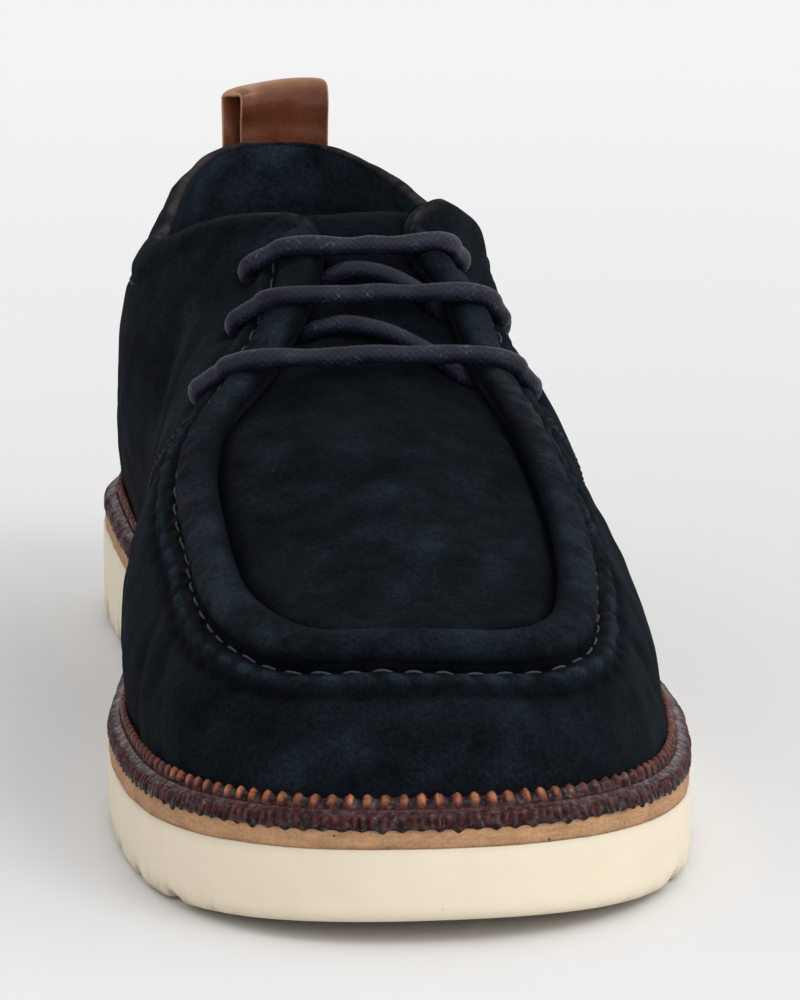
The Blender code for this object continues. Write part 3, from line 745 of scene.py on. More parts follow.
def start_material(name):
    """Material with its surface shader, and the means to wire it."""
    material = bpy.data.materials.new(name)
    material.use_nodes = True
    return material, Wiring(material.node_tree), material.node_tree.nodes["Principled BSDF"]


def set_surface(wiring, surface, inputs):
    """Give the surface shader its numbers and its wired colours and masks."""
    for key, value in inputs.items():
        wiring.feed(surface.inputs[key], value)


def colour_of(name):
    """A colour chosen in the panel, with its alpha."""
    return (*getattr(bpy.context.scene.derby_colours, name), 1.0)


def patched(wiring, colour, patches, grain):
    """A colour in patches and grain, each given by its scale and its contrast, and the grain."""
    return wiring.group(
        patchy_group(),
        Colour=colour,
        Patch_Scale=patches[0],
        Patch_Contrast=patches[1],
        Grain_Scale=grain[0],
        Grain_Contrast=grain[1],
    )


def toned(wiring, colour, dark, light):
    """A colour shaded by the tone that the mesh carries."""
    tone = wiring.attribute("tone")
    shade = wiring.group(tone_group(), Colour=colour, Tone=tone, Dark=dark, Light=light)
    return shade["Colour"]


def specked(wiring, colour, speck, scale, size, share):
    """A colour with small specks of the colour `speck` in a share of its cells."""
    return wiring.group(
        speck_group(),
        Colour=colour,
        Speck_Colour=(*speck, 1.0),
        Speck_Scale=scale,
        Speck_Size=size,
        Share=share,
    )["Colour"]


@cache
def suede_material():
    """Napped suede: cloudy patches where the nap lies another way, fine fibres, a little lint."""
    material, wiring, surface = start_material("navy_suede")
    nap = wiring.remap(wiring.noise(95.0, 6.0, 0.68), 0.36, 0.66, 0.60, 1.50)
    clouds = wiring.scale(colour_of("suede")[:3], nap)
    patchy = patched(wiring, clouds, (30.0, 1.0), (1300.0, 2.2))
    # the tone brings the meshes' painted shade and painted light onto the suede
    shaded = toned(wiring, patchy["Colour"], 0.08, 4.5)
    raw = wiring.mix(wiring.attribute("edge"), shaded, colour_of("raw_edge"))
    brushed = wiring.noise(520.0, 5.0, 0.7)
    fibres = wiring.math("ADD", patchy["Grain"], wiring.math("MULTIPLY", brushed, 1.1))
    set_surface(wiring, surface, {
        "Base Color": specked(wiring, raw, (0.050, 0.052, 0.060), 130.0, 0.030, 0.04),
        "Roughness": 0.95,
        "Specular IOR Level": 0.02,
        "Sheen Weight": 0.014,
        "Sheen Roughness": 0.5,
        "Sheen Tint": (0.60, 0.74, 0.90, 1.0),
        "Normal": wiring.bump(fibres, 0.7, 0.30),
    })
    return material


def thread_material(name, colour):
    """Waxed sewing thread: twisted plies catch the light in short streaks."""
    material, wiring, surface = start_material(name)
    patchy = patched(wiring, colour, (260.0, 1.0), (3200.0, 1.0))
    set_surface(wiring, surface, {
        "Base Color": patchy["Colour"],
        "Roughness": 0.62,
        "Specular IOR Level": 0.2,
        "Normal": wiring.bump(patchy["Grain"], 0.5, 0.08),
    })
    return material


def lace_material():
    """Waxed woven cord: painted shade in the valleys of the braid, pale painted glints of wax on
    its crowns.
    """
    material, wiring, surface = start_material("navy_cord")
    patchy = patched(wiring, colour_of("lace"), (160.0, 0.8), (2600.0, 0.9))
    shaded = toned(wiring, patchy["Colour"], 0.22, 2.2)
    # pale painted glints of wax on the crowns of the braid, in patches
    painted_glints = wiring.remap(wiring.noise(900.0, 2.0, 0.6), 0.52, 0.66)
    crown = wiring.remap(wiring.attribute("tone"), 0.50, 0.85)
    painted_glints = wiring.math("MULTIPLY", painted_glints, crown, clamp=True)
    wear_and_glint_amount = wiring.remap(wiring.noise(75.0, 2.0, 0.5), 0.44, 0.56, 0.10, 0.50)
    painted_glints = wiring.math("MULTIPLY", painted_glints, wear_and_glint_amount)
    set_surface(wiring, surface, {
        "Base Color": wiring.mix(painted_glints, shaded, (0.24, 0.25, 0.29)),
        "Roughness": wiring.remap(patchy["Grain"], 0.3, 0.7, 0.30, 0.55),
        "Specular IOR Level": 0.18,
        "Normal": wiring.bump(patchy["Grain"], 0.4, 0.06),
    })
    return material


def welt_material():
    """Waxed welt: wine-red crests, near-black painted shade in the valleys, rubbed orange tips,
    pale painted highlights in blotches, broken glints of wax.
    """
    material, wiring, surface = start_material("burgundy_welt")
    # near-black painted shade in the valleys, where the crest value is low
    base = wiring.mix(wiring.attribute("crest"), (0.003, 0.002, 0.004), colour_of("welt"))
    base = wiring.mix(wiring.attribute("rubbed"), base, colour_of("welt_tips"))
    patchy = patched(wiring, base, (700.0, 2.6), (2400.0, 1.2))
    # pale pinkish painted highlights in blotches
    painted_highlight = wiring.remap(wiring.noise(1000.0, 3.0, 0.6), 0.50, 0.68, 0.0, 0.42)
    highlighted = wiring.mix(painted_highlight, patchy["Colour"], (0.150, 0.075, 0.066))
    set_surface(wiring, surface, {
        "Base Color": specked(wiring, highlighted, (0.22, 0.15, 0.13), 640.0, 0.14, 0.05),
        "Roughness": wiring.remap(patchy["Grain"], 0.3, 0.7, 0.38, 0.62),
        "Specular IOR Level": 0.08,
        "Coat Weight": wiring.remap(wiring.noise(620.0, 3.0, 0.6), 0.45, 0.68, 0.10, 0.80),
        "Coat Roughness": 0.22,
        "Normal": wiring.bump(patchy["Grain"], 0.6, 0.16),
    })
    return material


def tan_material():
    """Cut edge of a tan cellular sheet: fine pores, long streaks and a few dark grains."""
    material, wiring, surface = start_material("tan_sheet")
    streaks = wiring.remap(wiring.noise(260.0, 4.0, 0.6, stretch=(1.0, 1.0, 6.0)), 0.3, 0.7)
    streaked = wiring.mix(streaks, colour_of("tan"), colour_of("tan_dark"))
    patchy = patched(wiring, streaked, (90.0, 0.5), (1500.0, 0.9))
    grains = specked(wiring, patchy["Colour"], (0.10, 0.055, 0.03), 520.0, 0.16, 0.10)
    set_surface(wiring, surface, {
        "Base Color": toned(wiring, grains, 0.35, 1.3),
        "Roughness": 0.82,
        "Specular IOR Level": 0.25,
        "Normal": wiring.bump(patchy["Grain"], 0.5, 0.12),
    })
    return material


def cream_material():
    """Cream wedge rubber: fine pores, faint yellow stains and scuffed dirt near the ground."""
    material, wiring, surface = start_material("cream_rubber")
    stains = wiring.remap(wiring.noise(55.0, 4.0, 0.6), 0.56, 0.78, 0.0, 0.4)
    base = wiring.mix(stains, colour_of("cream"), colour_of("cream_stain"))
    patchy = patched(wiring, base, (70.0, 0.10), (1400.0, 0.07))
    grit = specked(wiring, patchy["Colour"], (0.30, 0.23, 0.16), 230.0, 0.045, 0.16)
    dirty = wiring.group(
        ground_dirt_group(),
        Colour=grit,
        Dirt_Colour=(0.33, 0.27, 0.20, 1.0),
        Reach=0.0050,
        Amount=0.75,
    )
    set_surface(wiring, surface, {
        "Base Color": toned(wiring, dirty["Colour"], 0.45, 1.1),
        "Roughness": 0.62,
        "Specular IOR Level": 0.3,
        "Normal": wiring.bump(patchy["Grain"], 0.25, 0.10),
    })
    return material


def loop_material():
    """Chestnut leather strap: polished face, pale cut edges and a fine pored grain."""
    material, wiring, surface = start_material("brown_leather")
    clouds = wiring.remap(wiring.noise(120.0, 4.0, 0.6), 0.35, 0.7)
    face = wiring.mix(clouds, colour_of("strap"), colour_of("strap_dark"))
    edged = wiring.mix(wiring.attribute("edge"), face, colour_of("strap_edge"))
    patchy = patched(wiring, edged, (200.0, 0.4), (1600.0, 0.3))
    set_surface(wiring, surface, {
        "Base Color": patchy["Colour"],
        "Roughness": wiring.remap(patchy["Grain"], 0.3, 0.7, 0.22, 0.36),
        "Specular IOR Level": 0.34,
        "Normal": wiring.bump(patchy["Grain"], 0.35, 0.07),
    })
    return material


def footbed_material():
    """Dark woven cover of the footbed."""
    material, wiring, surface = start_material("footbed")
    inputs = {"Vector": wiring.place(), "Scale": 260.0, "Distortion": 0.6}
    warp = wiring.node("ShaderNodeTexWave", inputs, bands_direction="X").outputs["Fac"]
    weft = wiring.node("ShaderNodeTexWave", inputs, bands_direction="Y").outputs["Fac"]
    weave = wiring.math("MAXIMUM", warp, weft)
    woven = wiring.mix(weave, (0.006, 0.008, 0.012), colour_of("footbed"))
    set_surface(wiring, surface, {
        "Base Color": patched(wiring, woven, (35.0, 0.8), (1500.0, 0.4))["Colour"],
        "Roughness": 0.85,
        "Specular IOR Level": 0.2,
        "Normal": wiring.bump(weave, 0.5, 0.15),
    })
    return material


# ---------------------------------------------------------------- relief of the wall
# The tone column holds painted shade in the seam's grooves and a paler ridge, partly wear and
# partly painted highlight.
APRON_SEAM = table(
    "past height tone",
    (-1.0, 0.30, 0.40),
    (0.0, 0.20, 0.22),
    (1.6, -0.70, 0.12),
    (2.7, 0.25, 0.42),
    (3.9, 0.90, 0.66),
    (5.0, 0.80, 0.60),
    (6.2, -0.10, 0.38),
    (7.0, -0.40, 0.26),
    (9.5, 0.00, 0.47),
    (12.0, 0.00, 0.50),
)
APRON_STITCH_DOWN = 1.6       # the apron's stitches lie this far past the roll

QUARTER_EDGE = table(
    "share around",
    (0.00, 0.412),
    (0.10, 0.418),
    (0.25, 0.430),
    (0.50, 0.470),
    (0.75, 0.530),
    (1.00, 0.575),
)
QUARTER_STEP = 0.9            # how far the quarter's edge stands above the vamp
QUARTER_FADE = (8.0, 45.0)    # distances behind the edge between which that step dies out
QUARTER_ROWS = (1.6, 4.2)     # distances of its two rows of stitches behind the edge
SIDE_LENGTH = 385.0           # one side of the shoe, toe tip to heel, along the feather line

COLLAR_FROM = (0.62, 0.67)    # the padded collar begins between these
COLLAR_PAD = 0.7              # how far the collar's padding stands out
COLLAR_ROW = 10.5             # distance of the collar's stitches below its edge
COLLAR_GAP = (0.012, 0.030)   # turns beside the heel where the loop holds the padding flat
BACK_SEAM = 0.6               # depth of the seam down the back of the heel
BACK_SEAM_FROM = (6.0, 12.0)  # the seam begins between these distances below the collar
LOBE_FROM = (0.562, 0.585)    # the rounded ends of the facings begin between these
LOBE_TO = (0.620, 0.665)
LOBE_PAD = 2.6                # how far the lateral one stands out
LOBE_MEDIAL = 0.4             # share of it by which the medial one stands out
LOBE_DOWN = 4.5               # distance of its middle below the edge
EYELET_RADIUS = 2.5
EYELET_DEPTH = 1.8
GATHER = 0.14                 # how much the stitches draw the seam in at the roll
GATHER_TOE = 0.46             # and how much more further out, at the toe
GATHER_SIDES_LESS = 0.26
WELT_SHADE_REACH = 4.5              # height above the welt over which painted shade darkens the suede

WALL_CREASES = table(
    "width depth line",
    # soft folds that run forward and down from the lowest eyelets
    (4.2, 0.75, ((0.768, 21), (0.785, 27), (0.806, 34), (0.826, 44))),
    (5.0, 0.60, ((0.760, 27), (0.775, 36), (0.792, 47), (0.806, 60))),
    (4.4, 0.70, ((0.232, 19), (0.216, 25), (0.198, 33), (0.182, 43))),
    # flex creases of the ball, across both sides of the vamp
    (4.6, 0.80, ((0.852, 12), (0.860, 20), (0.864, 31), (0.861, 42))),
    (3.8, 0.55, ((0.876, 14), (0.883, 22), (0.886, 31))),
    (4.6, 0.70, ((0.146, 12), (0.139, 21), (0.135, 32), (0.137, 43))),
    (3.6, 0.45, ((0.120, 14), (0.114, 23), (0.112, 31))),
    # gentle folds of the quarters below the facings
    (5.5, 0.70, ((0.722, 24), (0.733, 35), (0.741, 49), (0.744, 62))),
    (4.6, 0.50, ((0.700, 26), (0.708, 38), (0.712, 52))),
    (5.5, 0.60, ((0.280, 24), (0.268, 36), (0.260, 50), (0.257, 62))),
    (5.0, 0.45, ((0.352, 22), (0.346, 36), (0.342, 52))),
    (5.0, 0.45, ((0.648, 24), (0.655, 38), (0.660, 54))),
)


def distance_to_line(points, line):
    """Distance of each point to a polyline, and how far along it the nearest place lies."""
    nearest = np.full(points.shape[:-1], np.inf)
    place = np.zeros(points.shape[:-1])
    steps = np.linalg.norm(np.diff(line, axis=0), axis=1)
    arc = np.concatenate(([0.0], np.cumsum(steps)))
    for i in range(len(steps)):
        along = (line[i + 1] - line[i]) / steps[i]
        reach = np.clip((points - line[i]) @ along, 0, steps[i])
        gap = np.linalg.norm(points - line[i] - reach[..., None] * along, axis=-1)
        closer = gap < nearest
        nearest = np.where(closer, gap, nearest)
        place = np.where(closer, (arc[i] + reach) / arc[-1], place)
    return nearest, place


def crease_relief(points, line, width, depth):
    """A soft trough with low shoulders that dies out at both ends of its line."""
    distance, place = distance_to_line(points, line)
    x = distance / width
    ends = np.sin(math.pi * np.clip(place, 0.02, 0.98)) ** 0.6
    return -depth * ends * (1 - 0.8 * x**2) * np.exp(-x**2)


def roll_edge(around):
    """Distance down the wall at which the roll ends."""
    return ROLL_INNER + roll_width(around)


def seam_strength(around):
    """How much of the apron seam's relief shows: all round the toe, less along the facings."""
    on_apron = 1 - 0.6 * smooth_step(around, 0.40, 0.46)
    return on_apron * (1 - smooth_step(around, 0.54, 0.575))


def behind_quarter_edge(turn, down):
    """How far behind the front edge of the quarter a place on the wall lies."""
    share = down / WALL_SURFACE.rib_length(turn)
    return (around_of(turn) - follow(QUARTER_EDGE, "around", share)) * SIDE_LENGTH


def eyelet_place(bar, side):
    """`around` of a bar's eyelet on one side and its distance down the wall."""
    if side == MEDIAL:
        return bar.medial, bar.medial_down
    return bar.lateral, bar.lateral_down


class ApronSeam:
    """Place along the apron's stitch line, counted from the toe tip in millimetres."""

    TURNS = np.linspace(-0.2865, 0.2865, 2400)

    def __init__(self):
        down = roll_edge(around_of(self.TURNS)) + APRON_STITCH_DOWN
        self.arc = arc_lengths(WALL_SURFACE.at(self.TURNS, down))
        self.arc -= np.interp(0.0, self.TURNS, self.arc)

    def arc_at(self, turn):
        return np.interp(np.mod(np.asarray(turn) + 0.5, 1.0) - 0.5, self.TURNS, self.arc)


APRON_LINE = ApronSeam()


def wall_relief(turn, down):
    """Height of the leather above the plain wall, and its tone from 0 dark to 1 pale, with painted
    shade and light laid on by its relief and painted shade just above the welt.
    """
    turn, down = np.broadcast_arrays(np.asarray(turn, float), np.asarray(down, float))
    points = WALL_SURFACE.at(turn, down)
    height = 0.35 * waves(points, 26.0, 11) + 0.12 * waves(points, 8.0, 12)
    tone = 0.5 + 0.05 * waves(points, 18.0, 13)
    for more_height, more_tone in (
        apron_seam_relief(turn, down, points),
        quarter_relief(turn, down),
        collar_relief(turn, down),
        eyelet_relief(points),
        fold_relief(points),
    ):
        height = height + more_height
        tone = tone + more_tone
    # painted shade on the suede just above the welt
    above_welt = WALL_SURFACE.rib_length(turn) - down
    return height, np.clip(tone - 0.22 * hump(above_welt, WELT_SHADE_REACH), 0.0, 1.0)


def apron_seam_relief(turn, down, points):
    """Groove and ridge of the apron's hand-sewn seam, drawn in at every stitch."""
    around = around_of(turn)
    past = down - roll_edge(around)
    strength = seam_strength(around)
    gather = np.cos(2 * math.pi * APRON_LINE.arc_at(turn) / stitch_pitch())
    swing = GATHER_TOE - GATHER_SIDES_LESS * smooth_step(around, 0.12, 0.24)
    pucker = 1 + (GATHER + swing * smooth_step(past, 1.8, 4.0)) * gather
    height = pucker * follow(APRON_SEAM, "height", past)
    height += 0.26 * waves(points, 5.0, 18) * hump(past - 4.5, 2.6)
    # painted highlight where the stitches push the ridge up
    tone = follow(APRON_SEAM, "tone", past) - 0.5 + 0.09 * gather * hump(past - 4.4, 1.8)
    return strength * height, strength * tone


def quarter_relief(turn, down):
    """Step at the front edge of the quarter, and its two rows of stitches."""
    behind = behind_quarter_edge(turn, down)
    fade = 1 - smooth_step(behind, *QUARTER_FADE)
    height = QUARTER_STEP * smooth_step(behind, -1.0, 1.0) * fade
    for row in QUARTER_ROWS:
        height -= 0.25 * hump(behind - row, 0.7) * fade
    # painted highlight along the quarter's raised edge and painted shade on the vamp just in front
    # of it
    return height, 0.10 * hump(behind - 1.0, 0.9) - 0.16 * hump(behind + 1.4, 1.0)


def collar_relief(turn, down):
    """Padded collar with its row of stitches, the back seam and the lobes of the facings."""
    around = around_of(turn)
    from_heel = np.abs(np.mod(turn, 1.0) - 0.5)
    collar = smooth_step(around, *COLLAR_FROM)
    padding = stretch(down, (0.0, 3.0), (7.0, 10.0))
    height = collar * smooth_step(from_heel, *COLLAR_GAP) * COLLAR_PAD * padding
    height -= collar * 0.35 * hump(down - COLLAR_ROW, 1.1)
    # painted shade in the groove of the collar's row of stitches
    tone = -collar * 0.15 * hump(down - COLLAR_ROW, 0.9)
    back = hump(from_heel * 2 * SIDE_LENGTH, 0.9) * smooth_step(down, *BACK_SEAM_FROM)
    lobe = stretch(around, LOBE_FROM, LOBE_TO)
    pad = np.where(np.mod(turn, 1.0) < 0.5, LOBE_PAD, LOBE_MEDIAL * LOBE_PAD)
    height += pad * lobe * hump(down - LOBE_DOWN, LOBE_DOWN)
    # painted shade in the back seam
    return height - BACK_SEAM * back, tone - 0.2 * back


def eyelet_relief(points):
    """Leather pressed in round each eyelet."""
    pressed = 0.0
    for bar in LACE_BARS:
        for side in (LATERAL, MEDIAL):
            eyelet, eyelet_down = eyelet_place(bar, side)
            middle = WALL_SURFACE.at(turn_of(side, eyelet), eyelet_down)
            pressed = pressed + hump(np.linalg.norm(points - middle, axis=-1), EYELET_RADIUS)
    # painted shade in the pressed-in hollow round each eyelet
    return -EYELET_DEPTH * pressed, -0.45 * pressed


def fold_relief(points):
    """Creases of the wall, with painted shade in their troughs."""
    troughs = 0.0
    for crease in WALL_CREASES:
        line = np.array([WALL_SURFACE.at(*place) for place in crease.line])
        troughs = troughs + crease_relief(points, line, crease.width, crease.depth)
    return troughs, 0.16 * troughs


def upper_surface(turn, down):
    """Point, normal and tone of the finished leather."""
    point, normal = WALL_SURFACE.frame_at(turn, down)
    height, tone = wall_relief(turn, down)
    return point + height[..., None] * normal, normal, tone


# ---------------------------------------------------------------- sole pieces
TREAD_BEVEL = 1.6
TREAD_BEVEL_HEIGHT = 2.6
GROOVE_FIRST = 37.0
GROOVE_PITCH = 18.5
GROOVES = 14
GROOVE_DEEPENS = (85.0, 140.0)    # the first grooves are worn shallow
GROOVE = table(
    "past depth",
    (-7.4, 0.0),
    (-6.4, 0.35),
    (-2.8, 3.0),
    (-1.2, 3.4),
    (-0.2, 3.2),
    (0.2, 0.0),
)
GROOVE_WORN = 0.42            # share of its depth that the first groove keeps
OUTSOLE_STATIONS = 760
OUTSOLE_COLUMNS = 20
OUTSOLE_BEVEL_ROWS = 6
OUTSOLE_SIDE_ROWS = 6


def groove_depth(along):
    """How deep the saw-tooth tread is cut at stations along the sole."""
    past = np.array([row.past for row in GROOVE])
    depth = np.array([row.depth for row in GROOVE])
    total = np.zeros(np.shape(along))
    for groove in range(GROOVES):
        total += np.interp(along - GROOVE_FIRST - groove * GROOVE_PITCH, past, depth, 0.0, 0.0)
    return total * (GROOVE_WORN + (1 - GROOVE_WORN) * smooth_step(along, *GROOVE_DEEPENS))


def build_outsole():
    """Cream wedge with a rounded foot edge, a saw-tooth tread and slightly uneven sides."""
    loops = []
    for angle in np.linspace(0, math.pi / 2, OUTSOLE_BEVEL_ROWS):
        inset = TREAD_BEVEL * (1 - math.sin(angle))
        loops.append(outsole_loop(inset, TREAD_BEVEL_HEIGHT * (1 - math.cos(angle)), 0.0))
    for share in np.linspace(0, 1, OUTSOLE_SIDE_ROWS + 1)[1:]:
        loops.append(outsole_loop(0.0, TREAD_BEVEL_HEIGHT, share))
    rounding = loops[-1].copy()
    rounding[:, :2] = sole_loop(0.35, OUTSOLE_STATIONS)
    rounding[:, 2] += 0.12
    loops.append(rounding)
    for row, loop in enumerate(loops):
        uneven = 0.16 * waves(loop, 34.0, 21) + 0.05 * waves(loop, 5.0, 22)
        fade = min(row / 4, 1.0)
        loop[:, :2] += (fade * uneven)[:, None] * plan_normals(loop[:, :2])
    bottom = across_strips(loops[0], OUTSOLE_COLUMNS)
    bottom[:, 1:-1, 2] = tread_level(along_of(bottom[:, 1:-1, 1]))
    points, faces = stack_and_cap(loops, bottom, across_strips(loops[-1], 4))
    values = {"tone": outsole_tone(points)}
    rubber = cream_material()
    piece = write_mesh("outsole_rubber", points, faces, rubber, weld=0.0005, values=values)
    stand_for(piece, "cream_rubber", "outsole")


def tread_level(along):
    """Height of the cut tread above the ground."""
    return tread_height(along) + groove_depth(along)


def outsole_loop(inset, lift, share):
    """Loop on the outsole's side: `lift` above its tread, then `share` of the way to its top."""
    plan = sole_loop(inset, OUTSOLE_STATIONS)
    along = along_of(plan[:, 1])
    low = tread_level(along) + lift
    top = follow(SOLE_PROFILE, "top", along)
    return np.column_stack((plan, low + (top - low) * share))


def outsole_tone(points):
    """Shade that gathers under the welt, in the grooves and at the foot edge."""
    along = along_of(points[:, 1])
    above = points[:, 2] - tread_height(along)
    under_top = follow(SOLE_PROFILE, "top", along) - points[:, 2]
    tone = 0.5 - 0.10 * hump(above, 1.2) - 0.10 * hump(under_top, 0.5)
    tone -= 0.35 * smooth_step(groove_depth(along), 1.0, 3.2) * hump(above - 2.0, 2.5)
    return np.clip(tone, 0, 1)


MIDSOLE_STATIONS = 480
MIDSOLE_SECTION = table(
    "inset lift",
    (0.75, -0.28),
    (0.34, -0.10),
    (0.28, 0.5),
    (0.26, 1.4),
    (0.28, 2.4),
    (0.30, 3.2),
    (0.38, 3.75),
    (0.8, 3.9),
)


def build_midsole():
    """Tan band between rubber and welt, its cut edge a little uneven."""
    loops = []
    for row in MIDSOLE_SECTION:
        plan = sole_loop(row.inset, MIDSOLE_STATIONS)
        loop = np.column_stack((plan, midsole_bottom(along_of(plan[:, 1])) + row.lift))
        uneven = 0.10 * waves(loop, 14.0, 31) + 0.05 * waves(loop, 3.0, 32)
        loop[:, :2] += uneven[:, None] * plan_normals(loop[:, :2])
        loops.append(loop)
    points, faces = stack_and_cap(loops, across_strips(loops[0], 4), across_strips(loops[-1], 4))
    lift = points[:, 2] - midsole_bottom(along_of(points[:, 1]))
    # a dirty line along the bottom edge, and painted shade under the welt along the top
    tone = 0.5 - 0.18 * hump(lift + 0.1, 0.5) - 0.12 * hump(lift - 3.8, 0.9)
    tone += 0.05 * waves(points, 10.0, 33)
    values = {"tone": np.clip(tone, 0, 1)}
    piece = write_mesh("midsole_sheet", points, faces, tan_material(), weld=0.0005, values=values)
    stand_for(piece, "tan_sheet", "midsole")


WELT_POINTS_PER_TOOTH = 12
# Section of the welt: distance outside the feather line, height above the seat, how far
# its ribs, hanging tips and teeth shift it, how red it is, where low values give near-black painted
# shade in the valleys, and how rubbed it is.
WELT_SECTION = table(
    "out lift rib tip tooth tooth_lift crest rubbed",
    (2.0, 0.00, 0.00, 0.00, 0.00, 0.00, 0.0, 0.0),
    (4.72, -0.10, 0.00, -0.55, 0.00, 0.00, 0.0, 0.0),
    (4.98, -0.10, 0.06, -0.50, 0.00, 0.00, 0.0, 0.0),
    (5.00, 0.15, 0.10, -0.30, 0.00, 0.00, 0.1, 0.0),
    (4.86, 0.50, 0.20, 0.00, 0.00, 0.00, 0.5, 0.0),
    (4.70, 1.00, 0.26, 0.00, 0.00, 0.00, 1.0, 0.02),
    (4.55, 1.55, 0.26, 0.00, 0.00, 0.00, 1.0, 0.05),
    (4.35, 2.05, 0.22, 0.00, 0.00, 0.00, 1.0, 0.06),
    (4.00, 2.38, 0.12, 0.00, 0.00, 0.00, 0.6, 0.03),
    (3.55, 2.48, 0.04, 0.00, 0.00, 0.00, 0.1, 0.00),
    (3.20, 2.72, 0.00, 0.00, 0.00, 0.00, 0.7, 0.0),
    (2.75, 3.02, 0.00, 0.00, 0.00, 0.00, 1.0, 0.04),
    (2.25, 3.02, 0.00, 0.00, 0.00, 0.00, 1.0, 0.04),
    (1.90, 2.80, 0.00, 0.00, 0.05, 0.00, 0.3, 0.0),
    (1.60, 3.08, 0.00, 0.00, 0.24, 0.00, 0.5, 0.03),
    (1.42, 3.60, 0.00, 0.00, 0.38, 0.04, 0.6, 0.30),
    (1.22, 4.15, 0.00, 0.00, 0.40, 0.14, 0.9, 1.0),
    (0.90, 4.62, 0.00, 0.00, 0.34, 0.34, 0.9, 1.0),
    (0.50, 4.85, 0.00, 0.00, 0.18, 0.44, 0.8, 0.8),
    (0.12, 4.72, 0.00, 0.00, 0.04, 0.28, 0.2, 0.2),
    (-0.30, 3.90, 0.00, 0.00, 0.00, 0.00, 0.0, 0.0),
)

WELT_RUBBED_AT = 0.026        # the teeth are most rubbed this many turns medial of the toe tip
WELT_RUBBED_FADE = (0.038, 0.085)
WELT_TIP_LAG = 0.9            # angle by which ribs and tips lag behind the teeth


def beside_wall(lift, beside, outward):
    """How far outside its foot each rib of the wall stands at a height above the seat."""
    rise = beside[:, :, 2] - beside[0, :, 2]
    lean = np.zeros(len(lift))
    for i in range(len(lift)):
        at = np.interp(lift[i], rise[:, i], np.arange(len(beside)))
        low = min(int(at), len(beside) - 2)
        point = beside[low, i] * (low + 1 - at) + beside[low + 1, i] * (at - low)
        lean[i] = (point - beside[0, i]) @ outward[i]
    return lean


def build_welt():
    """Welt with ribbed edge, dark tips over the tan sheet, a smooth bead and a row of teeth."""
    teeth = bpy.context.scene.derby_sizes.welt_teeth
    steps = teeth * WELT_POINTS_PER_TOOTH
    turn = np.arange(steps) / steps
    fine = sole_loop(LEDGE, FINE_STATIONS)
    outward = np.column_stack((read_round(fine, plan_normals(fine), turn), 0 * turn))
    beside = rib_points(turn, np.linspace(0, 0.3, 61))
    random = np.random.default_rng(41)
    uneven = np.repeat(random.normal(size=teeth), WELT_POINTS_PER_TOOTH)
    phase = 2 * math.pi * np.arange(steps) / WELT_POINTS_PER_TOOTH
    tooth = np.cos(phase) * (1 + 0.15 * uneven)
    rib = np.cos(2 * phase + WELT_TIP_LAG + 0.5 * np.roll(uneven, 9))
    rib *= 1 + 0.34 * np.roll(uneven, 5)
    tips = (0.5 + 0.5 * np.cos(phase + WELT_TIP_LAG)) ** 1.6
    tips *= 1 + 0.30 * np.roll(uneven, 17)
    off_toe = np.abs(np.mod(turn + WELT_RUBBED_AT + 0.5, 1.0) - 0.5)
    toe = 1 - smooth_step(off_toe, *WELT_RUBBED_FADE)
    loops = []
    crest = []
    rubbed = []
    for row in WELT_SECTION:
        lift = row.lift + row.tip * tips + row.tooth_lift * tooth
        lean = beside_wall(lift, beside, outward) if row.lift > 0 else 0.0
        share = smooth_step(LEDGE - row.out, 1.0, 4.6)
        out = row.out + row.rib * rib + row.tooth * tooth + share * lean
        loop = beside[0] + out[:, None] * outward
        loop[:, 2] = beside[0, :, 2] + lift
        loops.append(loop)
        on_teeth = min(abs(row.tooth) / 0.3, 1.0)
        on_ribs = min(abs(row.rib) / 0.2, 1.0)
        # painted shade: the red fades to near-black between the ribs and between the teeth
        proud = 1 - on_ribs * (0.5 - 0.5 * rib)
        red = row.crest * proud * (1 - on_teeth * (0.5 - 0.5 * tooth))
        crest.append(np.clip(red * (1 + 0.7 * on_ribs * waves(loop, 2.0, 45)), 0, 1))
        rub = row.rubbed * proud * smooth_step(tooth, -0.2, 0.8) ** on_teeth
        wear_and_glint_amount = 0.20 + 0.12 * waves(loop, 28.0, 46) + 0.80 * toe
        rubbed.append(np.clip(rub * wear_and_glint_amount * (1 + 0.30 * uneven), 0, 1))
    faces = grid_faces(len(loops), steps, wrap_rows=True, wrap_columns=True)
    values = {"crest": np.concatenate(crest), "rubbed": np.concatenate(rubbed)}
    piece = write_mesh("welt_strip", np.concatenate(loops), faces, welt_material(), values=values)
    stand_for(piece, "burgundy_welt", "welt")


FOOTBED_STATIONS = 160
FOOTBED_COLUMNS = 44
FOOTBED_PRESS = 0.4           # how far its soft cover presses into the wall's lining
FOOTBED_EDGE = 0.5            # rounding of its upper edge
FOOTBED_CUP = 0.9             # how much lower its middle lies than its edge
FOOTBED_CUP_FROM = (10, 40)   # the cup begins and ends between these distances from the toe tip
FOOTBED_CUP_TO = (270, 292)


